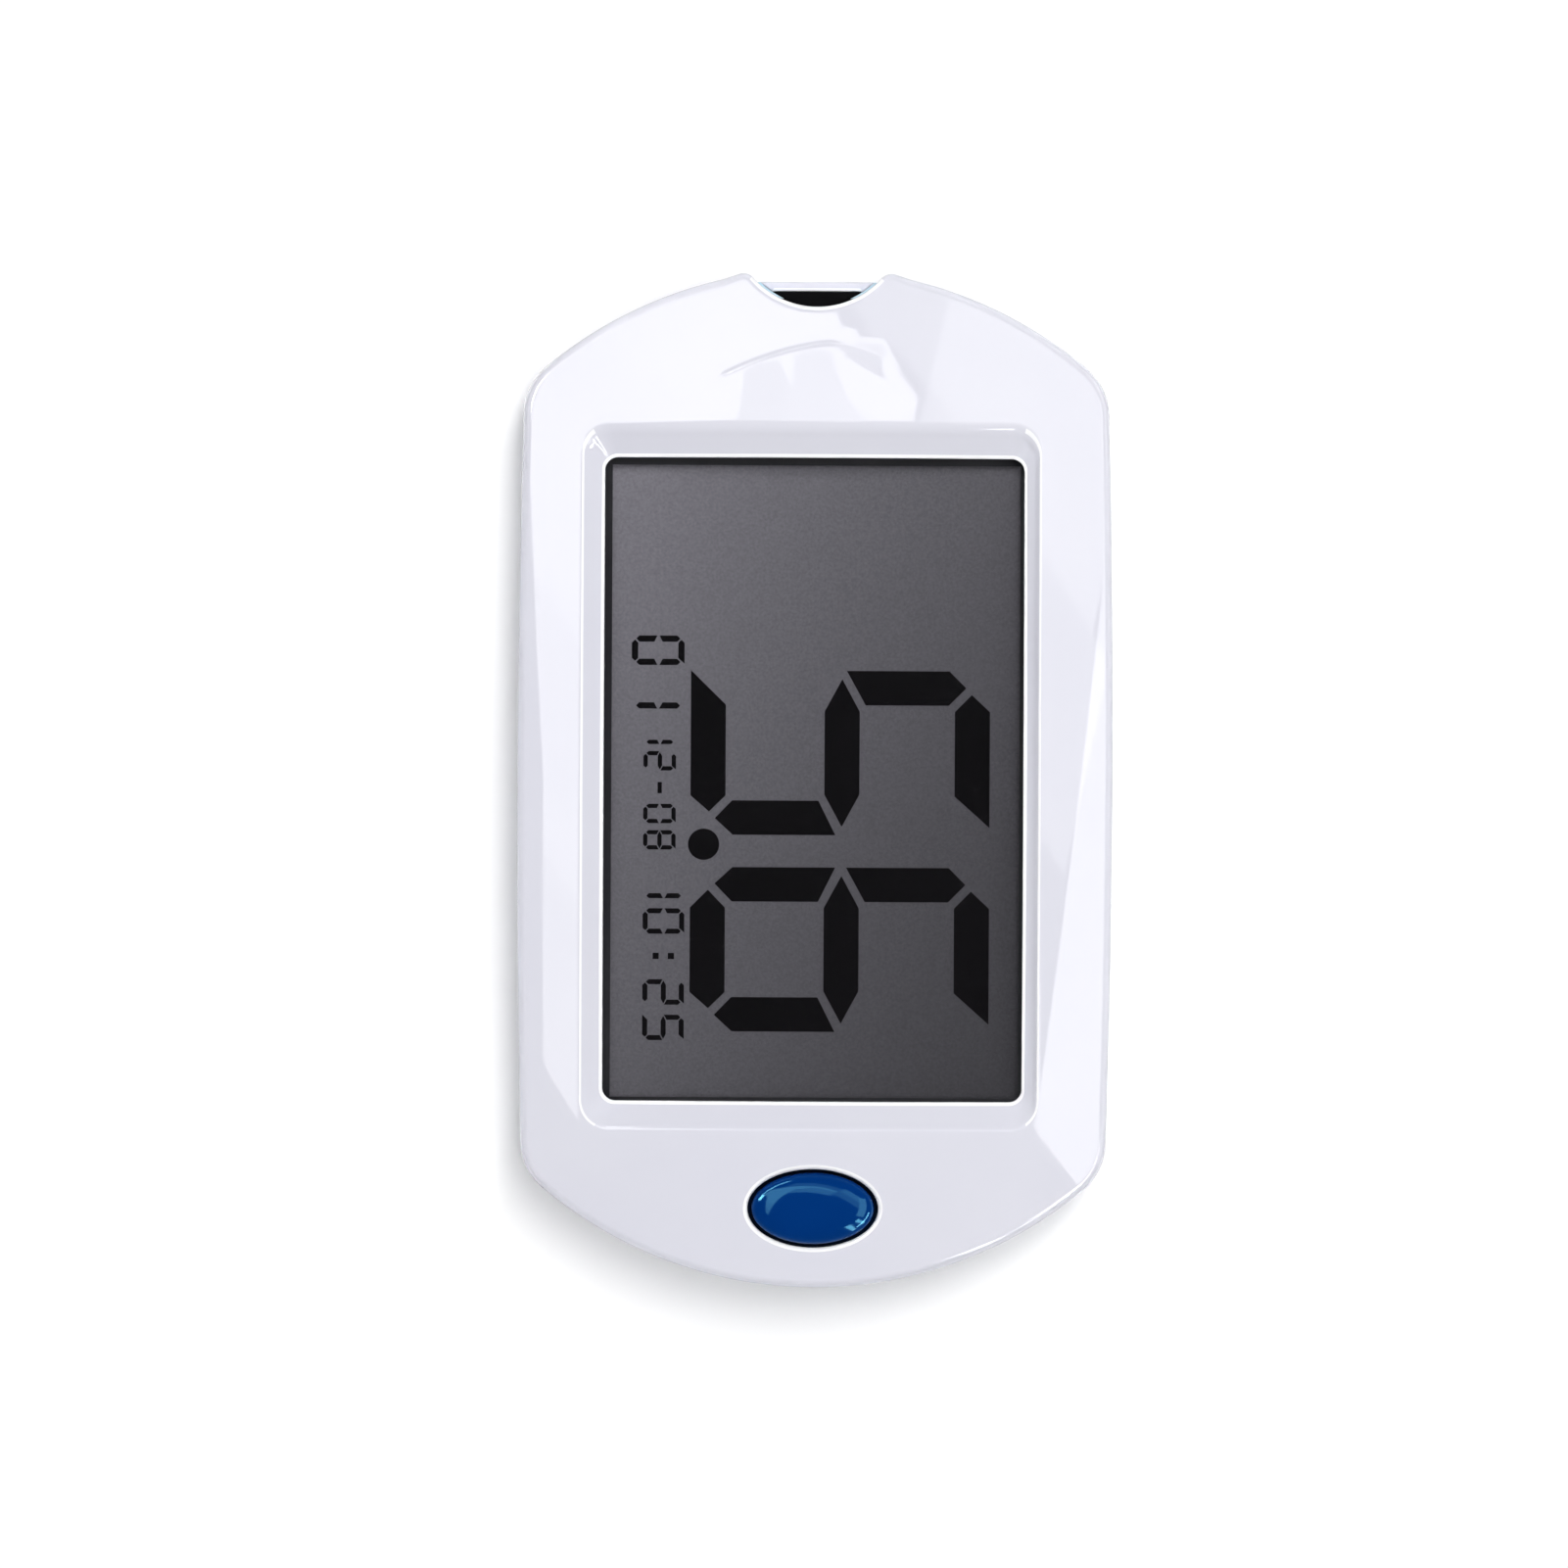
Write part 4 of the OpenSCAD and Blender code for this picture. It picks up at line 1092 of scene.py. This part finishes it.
# ------------------------------------------------------------------ feet and screws
def feet():
    obs = []
    for x, y in FEET:
        prof = [(0.2, 1.28), (3.5, 1.28), (3.5, 0.42)]
        for a in (15, 35, 55, 75, 90):
            prof.append((3.5 - 0.4 * (1 - math.cos(math.radians(a))), 0.42 - 0.42 * math.sin(math.radians(a))))
        # three shallow rings moulded in the sole
        for r in (2.5, 1.8, 1.1):
            prof += [(r + 0.16, 0.0), (r + 0.08, 0.1), (r - 0.08, 0.1), (r - 0.16, 0.0)]
        prof.append((0.2, 0.0))
        obs.append(lathe("foot", x, y, prof, 72))
    return settle(joined("feet_soft", obs), "feet_soft", [M["foot_rubber"]], 35)


soles = feet()
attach(soles, "housing")
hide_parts("rubber_feet")


def screws():
    obs = []
    for x, y in BOSS:
        prof = [(1.5, 1.9), (1.7, 1.93), (1.86, 2.02), (1.95, 2.2), (1.95, 3.36), (1.0, 3.36), (1.0, 12.4), (0.3, 13.0)]
        h = lathe("screw", x, y, prof, 56)
        cross = []
        for z, k in ((1.7, 1.15), (2.75, 0.7)):
            a, b_ = 1.15 * k, 0.27 * k
            cross.append([(x + px, y + py, z) for px, py in ((a, b_), (b_, b_), (b_, a), (-b_, a), (-b_, b_), (-a, b_), (-a, -b_), (-b_, -b_), (-b_, -a), (b_, -a), (b_, -b_), (a, -b_))])
        obs.append(combine(h, stack("t", cross), "DIFFERENCE"))
    return settle(joined("screws_back", obs), "screws_back", [M["screw_steel"]], 35)


bolts = screws()
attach(bolts, "housing")
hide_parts("housing_screws")


# ------------------------------------------------------------------ materials of the carried-over pieces
for name, ob in NODE.items():
    s = next((x["material_slot"] for x in frame["record"]["subparts"] if x["node"] == name), None)
    mat = M.get(s, M["shell_plastic"])
    if name == "lcd_front_glass":
        mat = M["cell_front"]
    ob.data.materials.clear()
    ob.data.materials.append(mat)


# ------------------------------------------------------------------ stage
floor_me = bpy.data.meshes.new("floor")
floor_me.from_pydata([(-3, -3, 0), (3, -3, 0), (3, 3, 0), (-3, 3, 0)], [], [(0, 1, 2, 3)])
floor = bpy.data.objects.new("floor", floor_me)
bpy.context.scene.collection.objects.link(floor)
fm, nt, out = material("floor_white")
p = nt.nodes.new("ShaderNodeBsdfPrincipled")
p.inputs["Base Color"].default_value = (0.97, 0.97, 0.97, 1)
p.inputs["Roughness"].default_value = 0.9
p.inputs["Specular IOR Level"].default_value = 0.1
# the white table is faintly lit from below
p.inputs["Emission Color"].default_value = (1, 1, 1, 1)
p.inputs["Emission Strength"].default_value = 0.03
nt.links.new(p.outputs[0], out.inputs[0])
floor_me.materials.append(fm)

scene = bpy.context.scene
scene.view_settings.view_transform = "Standard"
scene.view_settings.look = "None"
scene.view_settings.exposure = 0
scene.view_settings.gamma = 1

world = bpy.data.worlds.new("world")
scene.world = world
world.use_nodes = True
wn = world.node_tree
wn.nodes.clear()
wo = wn.nodes.new("ShaderNodeOutputWorld")
bg = wn.nodes.new("ShaderNodeBackground")
tc = wn.nodes.new("ShaderNodeTexCoord")
sep = wn.nodes.new("ShaderNodeSeparateXYZ")
wn.links.new(tc.outputs["Generated"], sep.inputs[0])
mr = wn.nodes.new("ShaderNodeMapRange")
mr.inputs["From Min"].default_value, mr.inputs["From Max"].default_value = 0.2, 0.6
mr.inputs["To Min"].default_value, mr.inputs["To Max"].default_value = 0.5, 0.06
wn.links.new(sep.outputs["Z"], mr.inputs["Value"])
wn.links.new(mr.outputs["Result"], bg.inputs["Strength"])
bg.inputs["Color"].default_value = (0.97, 0.98, 1.0, 1)
wn.links.new(bg.outputs[0], wo.inputs[0])


def softbox(name, place, target, w, h, power, spin=0.0, color=(1, 1, 1)):
    l = bpy.data.lights.new(name, "AREA")
    l.shape = "RECTANGLE"
    l.size, l.size_y = w, h
    l.energy = power
    l.color = color
    o = bpy.data.objects.new(name, l)
    scene.collection.objects.link(o)
    d = Vector(target) - Vector(place)
    o.location = place
    o.rotation_mode = "QUATERNION"
    q = d.to_track_quat("-Z", "Y")
    from mathutils import Quaternion
    o.rotation_quaternion = q @ Quaternion((0, 0, 1), math.radians(spin))
    return o


def overhead(name, tx, ty, w, h, spin, radiance, height=2.0, color=(1, 1, 1)):
    """A flat light facing down. tx, ty is its middle as seen from the object, in units of its height."""
    l = bpy.data.lights.new(name, "AREA")
    l.shape = "RECTANGLE"
    l.size, l.size_y = w * height, h * height
    l.energy = radiance * math.pi * w * h * height * height
    l.color = color
    o = bpy.data.objects.new(name, l)
    scene.collection.objects.link(o)
    o.location = (tx * height, ty * height, height)
    o.rotation_euler = (0, 0, math.radians(spin))
    return o


def corner_box(name, cx, cy, w, h, spin, radiance, **kw):
    """As overhead, but (cx, cy) is the box's lower left corner before it is turned."""
    s, c = math.sin(math.radians(spin)), math.cos(math.radians(spin))
    return overhead(name, cx + c * w / 2 - s * h / 2, cy + s * w / 2 + c * h / 2, w, h, spin, radiance, **kw)


def three_corners(name, a, b, c, radiance, height=2.0):
    """A flat light with a corner in direction a and its two neighbours in directions b and c, tilted so that its corner is square."""
    va, vb, vc = (Vector((p[0], p[1], 1)) for p in (a, b, c))
    e = vb - va
    k = e.dot(va) / e.dot(vc)
    pa, pb, pc = va * height, vb * height, vc * k * height
    ex, ey = pc - pa, pb - pa
    w, h = ex.length, ey.length
    ex.normalize()
    ey.normalize()
    ez = ex.cross(ey)
    mid = (pb + pc) / 2
    if ez.dot(mid) < 0:
        ex, w, ey, h = ey, h, ex, w
        ez = -ez
    l = bpy.data.lights.new(name, "AREA")
    l.shape = "RECTANGLE"
    l.size, l.size_y = w, h
    l.energy = radiance * math.pi * w * h
    o = bpy.data.objects.new(name, l)
    scene.collection.objects.link(o)
    m = Matrix((ex, ey, ez)).transposed().to_4x4()
    m.translation = mid
    o.matrix_world = m
    return o


def turned_box(name, u0, u1, v0, v1, radiance, spin=-30, height=2.0):
    """As overhead, given by its edges along the studio's own two directions."""
    s, c = math.sin(math.radians(spin)), math.cos(math.radians(spin))
    u, v = (u0 + u1) / 2, (v0 + v1) / 2
    return overhead(name, c * u - s * v, s * u + c * v, u1 - u0, v1 - v0, spin, radiance, height)


def low_box(name, azimuth, elevation, w, h, radiance, distance=2.0):
    a, e = math.radians(azimuth), math.radians(elevation)
    place = (distance * math.cos(e) * math.cos(a), distance * math.cos(e) * math.sin(a), distance * math.sin(e))
    return softbox(name, place, (0, 0, 0), w, h, radiance * math.pi * w * h)


# the boxes show in the gloss
for o in (three_corners("box_right", (0.387, -0.248), (0.56, 0.30), (0.75, -0.45), 4.3),
          turned_box("box_left_low", -0.95, -0.232, -0.42, -0.28, 3.1),
          turned_box("box_left_middle", -0.95, -0.232, -0.28, -0.12, 4.0),
          turned_box("box_left", -0.95, -0.232, -0.12, 0.205, 4.8),
          turned_box("box_top_left_a", -0.95, -0.16, 0.205, 0.3165, 4.8),
          turned_box("box_top_left_b", -0.16, 0.02, 0.25, 0.3165, 4.6),
          turned_box("box_middle_a", -0.232, -0.16, 0.1, 0.205, 2.6),
          turned_box("box_middle_b", -0.16, 0.02, 0.1, 0.25, 2.9),
          turned_box("box_top", -0.5, 0.03, 0.33, 0.5, 1.35),
          turned_box("box_top_right_a", 0.03, 0.41, 0.16, 0.335, 1.7),
          turned_box("box_top_right_b", 0.03, 0.37, 0.335, 0.6, 2.9),
          low_box("low_strip_1", -58, 42, 0.16, 1.1, 14.0),
          low_box("low_strip_2", -42, 42, 0.16, 1.1, 14.0),
          low_box("side_right", 2, 7, 2.2, 0.42, 3.4),
          low_box("side_corner", 48, 7, 1.4, 0.42, 3.4),
          low_box("side_top", 94, 7, 2.2, 0.42, 3.4),
          low_box("side_top_left", 140, 7, 1.4, 0.42, 2.6),
          low_box("streak_right", -34, 36, 1.1, 0.18, 27.0),
          low_box("streak_left", 127, 40, 1.1, 0.16, 18.0),
          low_box("blob", 153, 42, 0.38, 0.42, 36.0)):
    o.visible_diffuse = False
# and the soft light from above does the rest: an even part, and a narrower one from slightly behind and to the right
for o in (overhead("top_fill", 0.05, 0.05, 1.0, 1.0, 0, 0.82, height=1.6),
          overhead("top_key", 0.10, 0.15, 0.19, 0.72, -22, 20.2, height=1.6)):
    o.visible_glossy = False
    o.data.cycles.use_multiple_importance_sampling = False

# a black card under the left box gives its reflection a slanted lower edge
card_me = bpy.data.meshes.new("card")
_s, _c = math.sin(math.radians(-30)), math.cos(math.radians(-30))
card_me.from_pydata([((_c * u - _s * v) * 1.9, (_s * u + _c * v) * 1.9, 1.9) for u, v in
                     ((-0.225, -0.415), (-0.225, -0.6), (-1.1, -0.6), (-1.1, 0.06), (-0.72, 0.06), (-0.56, -0.045), (-0.405, -0.237), (-0.305, -0.415))],
                    [], [(0, 1, 2, 3, 4, 5, 6, 7)])
card = bpy.data.objects.new("card", card_me)
scene.collection.objects.link(card)
km, nt, out = material("card_black")
p = nt.nodes.new("ShaderNodeBsdfDiffuse")
p.inputs["Color"].default_value = (0.002, 0.002, 0.002, 1)
nt.links.new(p.outputs[0], out.inputs[0])
card_me.materials.append(km)
card.visible_camera = False

cam = bpy.data.cameras.new("camera")
co = bpy.data.objects.new("camera", cam)
scene.collection.objects.link(co)
D = 0.90
cam.sensor_width = 36
cam.lens = 36 * D / 0.1539
co.location = (-0.00303, -0.00058 + OY * MM, D + 0.0165)
co.rotation_euler = (0, 0, math.radians(0.3))
cam.clip_start = 0.01
cam.clip_end = 10
scene.camera = co
